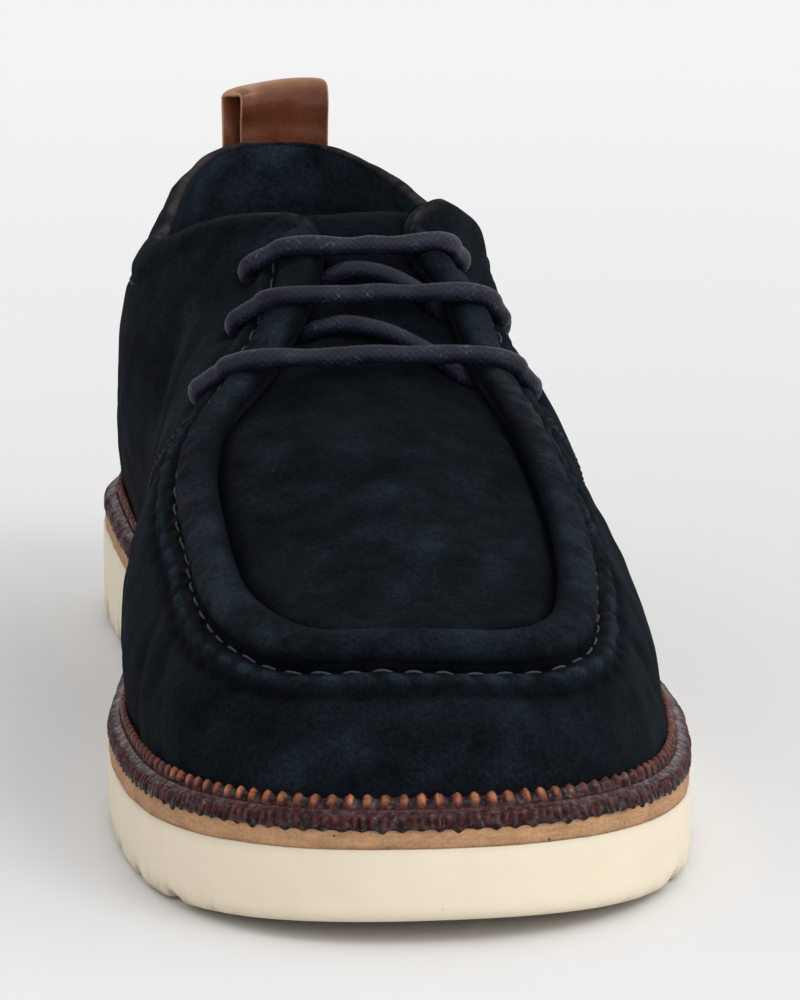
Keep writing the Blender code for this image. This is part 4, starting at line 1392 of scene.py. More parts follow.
def build_footbed():
    """Cloth-covered footbed, a little cupped."""
    inset = LEDGE + WALL - FOOTBED_PRESS
    side_top = INSOLE_THICKNESS - FOOTBED_EDGE
    loops = []
    for lift, extra in ((0.0, 0.0), (side_top, 0.0), (INSOLE_THICKNESS, FOOTBED_EDGE)):
        plan = sole_loop(inset + extra, FOOTBED_STATIONS)
        loops.append(np.column_stack((plan, seat_height(along_of(plan[:, 1])) + lift)))
    top = across_strips(loops[-1], FOOTBED_COLUMNS)
    across = np.linspace(-1, 1, FOOTBED_COLUMNS + 1)[None, :]
    along = along_of(top[:, :, 1])
    cupped = stretch(along, FOOTBED_CUP_FROM, FOOTBED_CUP_TO)
    top[:, :, 2] -= FOOTBED_CUP * (1 - across**4) * cupped
    points, faces = stack_and_cap(loops, across_strips(loops[0], 4), top)
    piece = write_mesh("footbed_cover", points, faces, footbed_material(), weld=0.0005)
    stand_for(piece, "footbed", "insole")


# ---------------------------------------------------------------- upper
UPPER_COLUMNS = 720
UPPER_DENSE = 16.0            # depth below the top line that is meshed most finely
UPPER_DENSE_ROWS = 38
UPPER_ROWS = 44
RIM_ROWS = 7
INNER_ROWS = 22
RIM_DOWN = 0.6                # the rim's crown lies this far below the top line
RIM_DOWN_APRON = 1.4          # and this much further where the apron covers it
RIM_APRON_ENDS = (0.38, 0.44)
RIM_ROUND = 1.0
RAW_RIM = (0.55, 0.58)        # the rim shows its raw cut edge from the facings' tops on
HEM_DOWN = 14.0               # distance of the lining's hem below the rim
RAW_LOBE_FROM = (0.552, 0.566)
RAW_LOBE_TO = (0.596, 0.625)
PALE_SEAM = (0.31, 0.11)    # middle and reach of the paler fuzzy stretch beside the apron's stitches


def lining_rows(turn, start):
    """Inside of the wall from the seat up to the rim, with the lining's hem below the collar."""
    length = WALL_SURFACE.rib_length(turn)
    for share in np.linspace(1, 0, INNER_ROWS):
        down = start + (length - start) * share
        point, normal = WALL_SURFACE.frame_at(turn, down)
        hem = 0.25 * hump(down - HEM_DOWN, 1.0) * smooth_step(around_of(turn), *COLLAR_FROM)
        soft = 0.25 * waves(point, 24.0, 15) * smooth_step(down, 2.0, 8.0)
        # painted light: the lining is toned almost to the top of the scale to light up the inside
        # of the shoe, with painted shade under the hem
        tone = 0.97 - 0.16 * hump(down - HEM_DOWN, 0.9) + 0.05 * waves(point, 15.0, 14)
        yield point - (WALL + hem - soft)[:, None] * normal, tone, 0.0 * turn


def rim_rows(turn, start):
    """Rounded rim from the lining over to the leather, raw and ragged round the collar."""
    raw_from = smooth_step(around_of(turn), *RAW_RIM)
    outside = wall_relief(turn, start)[0]
    for angle in np.linspace(math.pi, 0, RIM_ROWS + 2)[1:-1]:
        point, normal = WALL_SURFACE.frame_at(turn, start - RIM_ROUND * math.sin(angle))
        height = WALL / 2 * (math.cos(angle) - 1) + outside * (0.5 + 0.5 * math.cos(angle))
        ragged = 0.30 * waves(point, 2.6, 16) + 0.25 * waves(point, 17.0, 17)
        raw = math.sin(angle) ** 2 * raw_from
        edge = np.clip((0.55 + ragged) * raw, 0, 1)
        yield point + height[:, None] * normal, 0.5 + 0.10 * raw, edge


def leather_rows(turn, start):
    """Outside of the wall from the rim down to its foot, meshed most finely near the rim."""
    around = around_of(turn)
    length = WALL_SURFACE.rib_length(turn)
    dense = np.linspace(0, 1, UPPER_DENSE_ROWS)
    wide = np.linspace(0, 1, UPPER_ROWS + 1)[1:]
    levels = [start + (UPPER_DENSE - start) * share for share in dense]
    levels += [UPPER_DENSE + (length - UPPER_DENSE) * share for share in wide]
    lobe = stretch(around, RAW_LOBE_FROM, RAW_LOBE_TO)
    seam = 0.35 * hump(around - PALE_SEAM[0], PALE_SEAM[1])
    for down in levels:
        point, _, tone = upper_surface(turn, down)
        raw = lobe * np.clip(0.50 + 0.30 * waves(point, 4.0, 19), 0, 1) * hump(down, 1.7)
        fuzzy = np.clip(0.2 + 0.6 * waves(point, 3.0, 20), 0, 1)
        past_stitches = down - roll_edge(around) - APRON_STITCH_DOWN
        yield point, tone, raw + seam * fuzzy * hump(past_stitches - 0.4, 1.2)


def build_upper():
    """Wall of the upper as one closed shell: lining inside, rounded rim, leather outside."""
    turn = (np.arange(UPPER_COLUMNS) + 0.5) / UPPER_COLUMNS
    start = RIM_DOWN + RIM_DOWN_APRON * (1 - smooth_step(around_of(turn), *RIM_APRON_ENDS))
    strips = [*lining_rows(turn, start), *rim_rows(turn, start), *leather_rows(turn, start)]
    rows, tones, edges = zip(*strips)
    for foot in (rows[0], rows[-1]):
        foot[:, 2] = seat_height(along_of(foot[:, 1]))
    faces = grid_faces(len(rows), UPPER_COLUMNS, wrap_rows=True, wrap_columns=True)
    values = {"tone": np.clip(np.concatenate(tones), 0, 1), "edge": np.concatenate(edges)}
    points = np.concatenate(rows)
    piece = write_mesh("upper_suede", points, faces, suede_material(), values=values)
    stand_for(piece, "navy_suede", "upper")


# ---------------------------------------------------------------- apron
ROLL_SECTIONS = 560
ROLL_POINTS = 22
ROLL_TUCK = 1.2               # how far the roll leans in over the apron
ROLL_OVER_CAD = 1.12          # how much higher the soft roll stands than the plain one
ROLL_TAPER = 9.0              # length over which each end of the roll thins out
ROLL_PAST_END = 0.003         # turns by which it runs on past the facings' tops
ROLL_GATHER = 0.30            # how far each stitch draws in its outer side
ROLL_SCUFF = (0.8, 0.212, 0.016)    # strength, turn and reach of the rubbed place, lateral side
ROLL_RUBBED = (0.22, 0.30, 0.14)    # strength, `around` and reach of the faint rubbing


def build_roll():
    """Folded roll of suede along the apron and up both facings, drawn in at every stitch."""
    end = ROLL_END / 2 + ROLL_PAST_END
    turn = np.linspace(-end, end, ROLL_SECTIONS)
    around = np.abs(turn) * 2
    arc = APRON_LINE.arc_at(turn)
    left = np.minimum(arc - arc[0], arc[-1] - arc) / ROLL_TAPER
    taper = np.sqrt(1 - (1 - np.clip(left, 0.0005, 1)) ** 2)
    inner = ROLL_INNER - ROLL_TUCK
    outer = roll_edge(around)
    half = (outer - inner) / 2 * (0.45 + 0.55 * taper)
    middle = (outer + inner) / 2
    gather = ROLL_GATHER * np.cos(2 * math.pi * arc / stitch_pitch())
    scuffed = ROLL_SCUFF[0] * hump(turn - ROLL_SCUFF[1], ROLL_SCUFF[2])
    scuffed += ROLL_RUBBED[0] * hump(around - ROLL_RUBBED[1], ROLL_RUBBED[2])
    rows = []
    tones = []
    edges = []
    for angle in np.linspace(0, math.pi, ROLL_POINTS):
        bulge = math.sin(angle) ** 0.8
        outside = 0.5 - 0.5 * math.cos(angle)
        point, normal = WALL_SURFACE.frame_at(turn, middle - half * math.cos(angle))
        height = 0.1 + taper * bulge * (ROLL_OVER_CAD * roll_height(around) + outside * gather)
        height += taper * bulge * (0.22 * waves(point, 22.0, 51) + 0.08 * waves(point, 6.0, 52))
        rows.append(point + height[:, None] * normal)
        # painted shade at both feet of the roll and a painted highlight along its crest
        shade = 0.34 * hump(angle, 0.55) + 0.30 * hump(angle - math.pi, 0.45)
        tones.append(0.53 + 0.06 * bulge + 0.06 * waves(point, 11.0, 53) - shade)
        speckled = np.clip(0.25 + 0.5 * waves(point, 3.2, 54), 0, 1)
        edges.append(scuffed * speckled * hump(angle - 1.9, 0.9))
    # the roll's underside, darkened as painted shade
    rows.append(WALL_SURFACE.at(turn, middle, 0.05))
    tones.append(np.full(len(turn), 0.2))
    edges.append(0 * turn)
    points = np.stack(rows, axis=1).reshape(-1, 3)
    columns = len(rows)
    faces = grid_faces(len(turn), columns, wrap_columns=True).tolist()
    faces.append(list(reversed(range(columns))))
    faces.append(list(range(len(points) - columns, len(points))))
    tone = np.stack(tones, axis=1).ravel()
    values = {"tone": np.clip(tone, 0, 1), "edge": np.stack(edges, axis=1).ravel()}
    piece = write_mesh("apron_roll_suede", points, faces, suede_material(), values=values)
    stand_for(piece, "navy_suede", "apron_roll")


PLUG_ROWS = 250
PLUG_COLUMNS = 84
PLUG_TUCK_COLUMNS = 4
PLUG_TUCK = 2.2               # how far the plug reaches under the roll
PLUG_DROP = 1.9               # how far its edge dips below the roll's foot
PLUG_SHADE = (0.32, 3.3)      # depth and reach of the shade beside the roll
PLUG_PALE_AT = (0.0, 58.0)    # middle of the paler place near the toe, across and along
PLUG_PALE_REACH = (24.0, 26.0)
THROAT = (0.36, 0.44)         # the apron sinks to the tongue's level between these
TONGUE_SINK = WALL + 2 * GAP  # how far the tongue lies below the line of the facings
TONGUE_ROUND = 0.040
TONGUE_BLUNT = 0.004
TONGUE_LIP = ((0.45, 0.15), (0.75, 0.5))    # steps of its rounded upper edge, out and inward

PLUG_CREASES = table(
    "width depth line",
    (3.6, 0.55, ((-30, 76), (-15, 79), (-2, 88), (11, 94))),
)


def unit_normals(grid):
    """Upward unit normals of a grid, rows towards the heel and columns to the lateral side."""
    normal = np.cross(np.gradient(grid, axis=1), np.gradient(grid, axis=0))
    size = np.linalg.norm(normal, axis=2, keepdims=True)
    return np.where(size > 1e-9, normal / np.maximum(size, 1e-9), (0.0, 0.0, 1.0))


def plug_rows():
    """`around` of each row of the apron, evenly spread along it but closer at the toe tip."""
    fine = np.linspace(0, TONGUE_END, 3000)
    along = follow_round(TOP_LINE, "along", "along", fine / 2)
    share = np.linspace(0, 1, PLUG_ROWS) ** 1.25
    return np.interp(along[0] + (along[-1] - along[0]) * share, along, fine)


def plug_surface(around):
    """Upper face of the plug and the tongue between the edges of the apron, and its tone."""
    even = np.linspace(0, 1, PLUG_COLUMNS + 1)
    across = 0.5 * even + 0.25 * (1 - np.cos(math.pi * even))
    top = dome_points(around[:, None], across[None, :])
    normal = unit_normals(top)
    normal[:2] = normal[2]
    edge = top_line(np.linspace(-TONGUE_END / 2, TONGUE_END / 2, 360))
    inside, _ = distance_to_line(top, edge)
    throat = smooth_step(around, *THROAT)[:, None]
    dip = PLUG_DROP * hump(inside, 1.7) - 0.35 * hump(inside - 4.5, 2.6)
    height = -(TONGUE_SINK * throat + (1 - throat) * dip)
    folds = 0.0
    for crease in PLUG_CREASES:
        line = np.array(crease.line, float) - (0, SOLE_LENGTH / 2)
        folds = folds + crease_relief(top[..., :2], line, crease.width, crease.depth) * (1 - throat)
    uneven = 0.40 * waves(top, 24.0, 61) + 0.10 * waves(top, 7.0, 62)
    height = height + folds + uneven * smooth_step(inside, 0, 5)
    shade, reach = PLUG_SHADE
    tone = 0.43 + 0.06 * waves(top, 14.0, 63) - shade * (1 - throat) * hump(inside, reach)
    from_pale = (top[..., 0] - PLUG_PALE_AT[0], along_of(top[..., 1]) - PLUG_PALE_AT[1])
    pale = hump(from_pale[0], PLUG_PALE_REACH[0]) * hump(from_pale[1], PLUG_PALE_REACH[1])
    # painted shade in the crease's trough, a little lighter on its shoulders
    tone = tone - 0.10 * throat + 0.07 * pale + 0.40 * folds
    return top + height[..., None] * normal, tone


def tucked_in(sheet, tone, around):
    """The same sheet with a strip on both sides that reaches under the roll and the facings."""
    throat = smooth_step(around, *THROAT)
    tuck = PLUG_TUCK + (TONGUE_TUCK - PLUG_TUCK) * throat
    tuck *= rounded_end(TONGUE_END + TONGUE_BLUNT - around, TONGUE_ROUND, 2.0)
    drop = PLUG_DROP + (TONGUE_SINK - PLUG_DROP) * throat
    parts = np.arange(PLUG_TUCK_COLUMNS, 0, -1) / PLUG_TUCK_COLUMNS
    medial = [WALL_SURFACE.at(1 - around / 2, tuck * part, -drop) for part in parts]
    lateral = [WALL_SURFACE.at(around / 2, tuck * part, -drop) for part in parts[::-1]]
    sheet = np.concatenate((np.stack(medial, axis=1), sheet, np.stack(lateral, axis=1)), axis=1)
    sheet[0] = WALL_SURFACE.at(0.0, tuck[0], -drop[0])
    # painted shade on the strips under the roll and the facings
    tone = np.pad(tone, ((0, 0), (PLUG_TUCK_COLUMNS, PLUG_TUCK_COLUMNS)), constant_values=0.15)
    return sheet, tone


def build_plug():
    """Apron plug and the tongue that continues it under the laces, as one sheet."""
    around = plug_rows()
    sheet, tone = tucked_in(*plug_surface(around), around)
    normal = unit_normals(sheet)
    sheet = sheet - lace_dents(sheet, normal)[..., None] * normal
    under = sheet - TONGUE_THICKNESS * normal
    for past, pinch in TONGUE_LIP:
        out = past * np.array((0.0, 1.0, 0.25))
        inward = pinch * TONGUE_THICKNESS / 2 * normal[-1]
        sheet = np.concatenate((sheet, (sheet[-1] + out - inward)[None]))
        under = np.concatenate((under, (under[-1] + out + inward)[None]))
        tone = np.concatenate((tone, np.full((1, tone.shape[1]), 0.58)))
    section = np.concatenate((sheet, under[:, ::-1]), axis=1)
    tones = np.concatenate((tone, np.full(tone.shape, 0.42)), axis=1)
    rows, columns = section.shape[:2]
    faces = grid_faces(rows, columns, wrap_columns=True)
    faces = np.concatenate((faces, flat_end((rows - 1) * columns, columns)))
    points = section.reshape(-1, 3)
    values = {"tone": np.clip(tones.ravel(), 0, 1)}
    suede = suede_material()
    piece = write_mesh("apron_tongue_suede", points, faces, suede, weld=0.0005, values=values)
    stand_for(piece, "navy_suede", "tongue")


DENT_STEPS = 60
DENT_SEARCH = 40              # rows further than this from a strand are not dented
DENT_DEEPEST = 6
DENT_REACH = 3.2              # distance beside the strand over which a dent fades


def lace_dents(points, normal):
    """How far the tongue gives way under the strands of lace that cross it inside."""
    total = np.zeros(points.shape[:-1])
    for low, high in zip(LACE_BARS, LACE_BARS[1:]):
        line = smooth_route(inner_strand(low, high), DENT_STEPS)
        for i, near in enumerate(points):
            if np.abs(near[:, 1].mean() - line[:, 1].mean()) > DENT_SEARCH:
                continue
            away = near[:, None, :] - line[None, :, :]
            best = np.argmin(np.linalg.norm(away, axis=2), axis=1)
            gap = -away[np.arange(len(near)), best]
            above = np.sum(gap * normal[i], axis=1)
            beside = np.linalg.norm(gap - above[:, None] * normal[i], axis=1)
            push = np.clip(LACE_RADIUS * 0.9 - above, 0, DENT_DEEPEST) * hump(beside, DENT_REACH)
            total[i] = np.maximum(total[i], push)
    return total


# ---------------------------------------------------------------- stitches
STITCH_RINGS = 9
STITCH_SIDES = 8
Thread = namedtuple("Thread", "radius rise sink")   # a stitch rises and dives this far
APRON_THREAD = Thread(0.27, 0.20, 0.45)
FINE_THREAD = Thread(0.26, 0.10, 0.35)
LOOP_THREAD = Thread(0.28, 0.20, 0.40)
FINE_DASH = 0.72              # share of its pitch that a fine stitch covers


def stitch_pitch():
    """Distance between the apron's stitches, in millimetres."""
    return bpy.context.scene.derby_sizes.apron_stitch_pitch / MILLIMETRE


def rings_round(line, radius, angle, first, second):
    """Ring of points round each point of a line, in the plane of two directions square to it."""
    cos = np.cos(angle)[None, :, None]
    sin = np.sin(angle)[None, :, None]
    return line[:, None] + radius[..., None] * (cos * first[:, None] + sin * second[:, None])


def stitch_row(points, normals, pitch, dash, thread, seed, from_middle=False):
    """Rounded stitches along a line on the leather; their ends dive into it."""
    arc = arc_lengths(points)
    first = dash / 2
    if from_middle:
        first = (arc[-1] / 2) % pitch
        first += pitch if first < dash / 2 else 0.0
    random = np.random.default_rng(seed)
    t = np.linspace(0, 1, STITCH_RINGS)
    lift = (thread.rise + thread.sink) * np.sin(math.pi * t) ** 0.7 - thread.sink
    thick = thread.radius * np.sqrt(np.clip(1 - (2 * t - 1) ** 6, 0, 1))
    angle = 2 * math.pi * np.arange(STITCH_SIDES) / STITCH_SIDES
    tangents = np.gradient(points, axis=0)
    faces = grid_faces(STITCH_RINGS, STITCH_SIDES, wrap_columns=True)
    stitches = []
    for centre in np.arange(first, arc[-1] - dash / 2, pitch):
        reach = dash * (1 + random.uniform(-0.07, 0.07))
        at = centre + random.uniform(-0.12, 0.12) + (t - 0.5) * reach
        shift = random.uniform(-0.10, 0.10) * dash / 4
        place, up, ahead = (
            np.column_stack([np.interp(at, arc, table[:, axis]) for axis in range(3)])
            for table in (points, normals, tangents)
        )
        side = unit(np.cross(up, ahead))
        up = unit(up)
        spine = place + lift[:, None] * up + (shift * (2 * t - 1))[:, None] * side
        rings = rings_round(spine, thick[:, None], angle, up, side)
        stitches.append((rings.reshape(-1, 3), faces))
    return join_rows(stitches)


def join_rows(rows):
    """One set of points and faces from several."""
    points = []
    faces = []
    count = 0
    for more, quads in rows:
        points.append(more)
        faces.append(quads + count)
        count += len(more)
    return np.concatenate(points), np.concatenate(faces)


def sew(name, rows, thread, slot):
    """One piece of rows of stitches."""
    points, faces = join_rows(rows)
    piece = write_mesh(name, points, faces, thread, weld=0.00005)
    stand_for(piece, slot)


def build_apron_stitches():
    """Pale waxed stitches in the groove that follows the apron's roll."""
    turn = APRON_LINE.TURNS
    points, normals, _ = upper_surface(turn, roll_edge(around_of(turn)) + APRON_STITCH_DOWN)
    dash = bpy.context.scene.derby_sizes.apron_stitch_length / MILLIMETRE
    row = stitch_row(points, normals, stitch_pitch(), dash, APRON_THREAD, 71, from_middle=True)
    sew("apron_stitches", [row], thread_material("apron_thread", colour_of("thread")), "navy_cord")


def build_fine_stitches():
    """Dark stitches: two rows behind the front edge of each quarter and one below the collar."""
    pitch = bpy.context.scene.derby_sizes.fine_stitch_pitch / MILLIMETRE
    dash = FINE_DASH * pitch
    rows = []
    for side in (LATERAL, MEDIAL):
        for row in QUARTER_ROWS:
            share = np.linspace(0.02, 0.93, 500)
            around = follow(QUARTER_EDGE, "around", share) + row / SIDE_LENGTH
            turn = turn_of(side, around)
            down = share * WALL_SURFACE.rib_length(turn)
            clear = down > roll_edge(around) + 5.0
            points, normals, _ = upper_surface(turn[clear], down[clear])
            rows.append(stitch_row(points, normals, pitch, dash, FINE_THREAD, 72 + int(row)))
    turn = np.linspace(0.5 * COLLAR_FROM[1], 1 - 0.5 * COLLAR_FROM[1], 3000)
    points, normals, _ = upper_surface(turn, np.full(len(turn), COLLAR_ROW))
    rows.append(stitch_row(points, normals, pitch, dash, FINE_THREAD, 79))
    thread = thread_material("dark_thread", colour_of("dark_thread"))
    sew("quarter_stitches", rows, thread, "navy_cord")


# ---------------------------------------------------------------- lace
LACE_STEP = 0.26
LACE_SIDES = 40
LACE_LAY = 11.5               # length in which a strand of the braid goes round once
LACE_RELIEF = 0.10
INNER_STRAND_AT = (0.14, 0.30, 0.50, 0.70, 0.86)    # places across the throat
INNER_STRAND_SINK = (2.0, 0.9, 0.2, 0.4, 1.6)       # its depth there below the line of the dome


def smooth_route(route, count):
    """Evenly spaced points on a smooth curve through the points of a route."""
    length = arc_lengths(route)
    at = np.linspace(0, length[-1], count + 1)
    return np.column_stack([hermite(length, route[:, axis], at) for axis in range(3)])


def bend_over_roll(side, bar):
    """Points of the lace from its eyelet along the wall and over the roll, on one side."""
    eyelet, eyelet_down = eyelet_place(bar, side)
    width = float(roll_width(bar.around))
    half = width / 2
    crest = float(roll_height(bar.around)) + LACE_RADIUS + GAP
    places = []
    for share, rise in LACE_REST:
        down = eyelet_down + (ROLL_INNER + width - eyelet_down) * share
        places.append((down, LACE_RADIUS + rise))
    for degrees in LACE_WRAP:
        bend = math.radians(degrees)
        down = ROLL_INNER + half + (half + LACE_RADIUS + GAP) * math.cos(bend)
        places.append((down, crest * math.sin(bend)))
    points = []
    for down, height in places:
        around = bar.around + (eyelet - bar.around) * down / eyelet_down
        points.append(WALL_SURFACE.at(turn_of(side, around), down, height))
    return points


def under_facing(side, bar, throat):
    """Points of the lace from just outside its eyelet, down through it, to `throat`."""
    eyelet, hole = eyelet_place(bar, side)
    deep = -(WALL + LACE_RADIUS + 0.2)
    places = (
        (hole - 1.5, LACE_RADIUS - 0.1),
        (hole - 0.2, 0.5),
        (hole + 0.3, -1.6),
        (hole - 1.0, deep),
        (0.6 * hole, deep - 0.3),
        (0.3 * hole, deep - 0.2),
        (1.0, deep),
    )
    points = []
    for down, height in places:
        around = throat + (eyelet - throat) * down / hole
        points.append(WALL_SURFACE.at(turn_of(side, around), down, height))
    return points


def inner_strand(low, high):
    """Strand inside, from the lateral eyelet of bar `low` to the medial eyelet of bar `high`."""
    start = low.around + 0.012
    end = high.around - 0.004
    share = np.array(INNER_STRAND_AT)
    middle = dome_points(start + (end - start) * share, 1 - share)
    middle[:, 2] -= INNER_STRAND_SINK
    first = under_facing(LATERAL, low, start)
    last = under_facing(MEDIAL, high, end)
    return np.array(first + list(middle) + last[::-1])


def lace_route():
    """Whole lace: up through the lowest medial eyelet, to and fro, down the top lateral one."""
    first = LACE_BARS[0]
    last = LACE_BARS[-1]
    route = under_facing(MEDIAL, first, first.around)[::-1]
    for i, bar in enumerate(LACE_BARS):
        middle = dome_points(np.full(3, bar.around), np.array((0.35, 0.5, 0.65)))
        middle[:, 2] += LACE_LIFT
        route += bend_over_roll(MEDIAL, bar)
        route += list(middle)
        route += bend_over_roll(LATERAL, bar)[::-1]
        if i + 1 < len(LACE_BARS):
            route += list(inner_strand(bar, LACE_BARS[i + 1]))
    route += under_facing(LATERAL, last, last.around)
    return np.array(route)


def carried_sides(tangent):
    """Unit vectors square to a line, carried along it without a twist."""
    side = np.cross(tangent[0], (0.0, 0.0, 1.0))
    sides = []
    for ahead in tangent:
        side = side - (side @ ahead) * ahead
        side = side / np.linalg.norm(side)
        sides.append(side)
    return np.array(sides)


def braid_crown(arc, angle):
    """How proud the braid's strands stand at each place along and round the lace."""
    strands = bpy.context.scene.derby_sizes.lace_strands
    u = strands * (angle[None, :] / (2 * math.pi) + arc[:, None] / LACE_LAY)
    v = strands * (angle[None, :] / (2 * math.pi) - arc[:, None] / LACE_LAY)
    over = np.mod(np.floor(u) + np.floor(v), 2) < 1
    return np.where(over, np.sin(math.pi * np.mod(u, 1)), np.sin(math.pi * np.mod(v, 1)))


def build_lace():
    """One braided waxed cord through all six eyelets."""
    route = lace_route()
    length = arc_lengths(smooth_route(route, 400))[-1]
    line = smooth_route(route, int(length / LACE_STEP))
    tangent = unit(np.gradient(line, axis=0))
    sides = carried_sides(tangent)
    ups = np.cross(tangent, sides)
    arc = arc_lengths(line)
    angle = 2 * math.pi * np.arange(LACE_SIDES) / LACE_SIDES
    crown = braid_crown(arc, angle)
    soft = 0.07 * waves(line, 9.0, 81)[:, None]
    radius = LACE_RADIUS + soft + LACE_RELIEF * (crown - 0.6)
    points = rings_round(line, radius, angle, sides, ups)
    # painted shade in the braid's valleys and painted light on its crowns
    tone = 0.22 + 0.40 * crown + 0.10 * waves(points, 5.0, 82)
    rows = len(line)
    faces = [grid_faces(rows, LACE_SIDES, wrap_columns=True)]
    for k, first in enumerate((0, (rows - 1) * LACE_SIDES)):
        j = np.arange(0, LACE_SIDES, 2)
        tip = np.full(len(j), rows * LACE_SIDES + k)
        corners = (first + j, first + j + 1, first + (j + 2) % LACE_SIDES, tip)
        faces.append(np.stack(corners, axis=1))
    points = np.concatenate((points.reshape(-1, 3), line[[0, -1]]))
    values = {"tone": np.clip(np.append(tone.ravel(), (0.3, 0.3)), 0, 1)}
    piece = write_mesh("lace", points, np.concatenate(faces), lace_material(), values=values)
    stand_for(piece, "navy_cord", "lace_bar_low", "lace_bar_middle", "lace_bar_top")


# ---------------------------------------------------------------- pull loop
LOOP_TAIL = (12.0, 8.0, 4.0, 1.0)     # distances down the wall of the points of its tail
LOOP_NECK = 3.0               # straight part above the rim
LOOP_FOOT = 1.6               # how deep its front foot is held between leather and lining
LOOP_BULGE = 1.0              # how far its crown swells past its feet
LOOP_ROWS = 90
LOOP_COLUMNS = 30
LOOP_ROW = 0.80               # place across the strap of the rows of stitches
LOOP_FOOT_ROW = 10.6          # distance down the wall of the row across its foot
LOOP_PITCH = 2.6
LOOP_DASH = 1.9
LOOP_OUTWARD = (0.0, 1.0, 0.1)


def loop_perimeter():
    """Length of the top line that one whole turn would have at the back of the heel."""
    span = 0.02
    ends = top_line(np.array((0.5 - span / 2, 0.5 + span / 2)))
    return float(np.linalg.norm(ends[1] - ends[0])) / span


def loop_line(turn, rise):
    """Middle of the strap at one turn: foot inside the rim, crown, tail behind the heel."""
    slipped = turn - LOOP_SKEW / loop_perimeter()
    tail = [WALL_SURFACE.at(turn, down, 0.35 + LOOP_STRAP / 2) for down in LOOP_TAIL]
    foot = [WALL_SURFACE.at(slipped, down, -0.45 * WALL) for down in (LOOP_FOOT, 0.5 * LOOP_FOOT)]
    front = WALL_SURFACE.at(slipped, 0.0, -0.40 * WALL) + np.array((0.0, 0.0, 0.6))
    back = tail[-1]
    top = (front[2] + back[2]) / 2 + rise + LOOP_EXTRA - LOOP_STRAP / 2
    radius = (back[1] - front[1]) / 2 + LOOP_BULGE
    crown = []
    for step, angle in enumerate(np.linspace(math.pi, 0, 7)):
        x = front[0] + (back[0] - front[0]) * smooth_step(step, 1.5, 4.5)
        y = (front[1] + back[1]) / 2 + radius * math.cos(angle)
        crown.append((x, y, top - radius + radius * math.sin(angle)))
    up = np.array((0.0, 0.0, LOOP_NECK))
    return np.array(foot + [front, front + up] + crown + [back + up] + tail[::-1])


def strap_line(across, count):
    """Line along the strap at one place across it, from -1 at one edge to 1 at the other."""
    turn = 0.5 + across * 0.5 * LOOP_WIDTH / loop_perimeter()
    return smooth_route(loop_line(turn, LOOP_RISE - LOOP_TILT * across), count)


def strap_faces(across):
    """Both faces of the strap along one line, and how much its pale edge shows there."""
    line = strap_line(across, LOOP_ROWS)
    side = np.gradient(line, axis=0)
    side = unit(np.column_stack((side[:, 0] * 0, side[:, 2], -side[:, 1])))
    thick = LOOP_STRAP / 2 * (1 - abs(across) ** 14) ** 0.5 * 0.98 + 0.02
    dome = 0.18 * (1 - across**2)
    past_crown = (np.arange(len(line)) - np.argmax(line[:, 2])) / LOOP_ROWS
    rubbed = 0.75 * hump(past_crown, 0.045)
    edge = np.maximum(smooth_step(abs(across), 0.955, 0.985), rubbed)
    return line - (thick + dome * 0.5) * side, line + (thick - dome * 0.2) * side, edge


def build_pull_loop():
    """Leather strap folded into a loop behind the heel."""
    across = np.sin(np.linspace(-math.pi / 2, math.pi / 2, LOOP_COLUMNS + 1))
    inner, outer, edge = (np.stack(part) for part in zip(*map(strap_faces, across)))
    sheet = np.concatenate((inner, outer[::-1])).transpose(1, 0, 2)
    edge = np.concatenate((edge, edge[::-1]))
    rows, columns = sheet.shape[:2]
    faces = grid_faces(rows, columns, wrap_columns=True)
    far_end = flat_end((rows - 1) * columns, columns)[:, ::-1]
    faces = np.concatenate((faces, flat_end(0, columns), far_end))
    uneven = 0.08 * waves(sheet, 7.0, 91)
    sheet = sheet + uneven[..., None] * np.array((0.0, 1.0, 0.3))
    values = {"edge": edge.T.ravel()}
    points = sheet.reshape(-1, 3)
    piece = write_mesh("pull_loop_strap", points, faces, loop_material(), values=values)
    stand_for(piece, "brown_leather", "pull_loop")


def build_loop_stitches():
    """Stitches that hold the loop's tail: one row along each edge and one across its foot."""
    rows = []
    for across in (-LOOP_ROW, LOOP_ROW):
        line = strap_line(across, 400)[-110:]
        out = np.tile(LOOP_OUTWARD, (len(line), 1))
        face = line + out * LOOP_STRAP / 2
        rows.append(stitch_row(face, out, LOOP_PITCH, LOOP_DASH, LOOP_THREAD, 92))
    turns = 0.5 + np.linspace(-LOOP_ROW, LOOP_ROW, 200) * (0.5 * LOOP_WIDTH / loop_perimeter())
    face = WALL_SURFACE.at(turns, np.full(200, LOOP_FOOT_ROW), 0.35 + LOOP_STRAP)
    out = np.tile(LOOP_OUTWARD, (200, 1))
    rows.append(stitch_row(face, out, LOOP_PITCH, LOOP_DASH, LOOP_THREAD, 93))
    thread = thread_material("loop_thread", colour_of("strap_dark"))
    sew("pull_loop_stitches", rows, thread, "brown_leather")


# ---------------------------------------------------------------- stage
FLOOR_RADIUS = 12.0
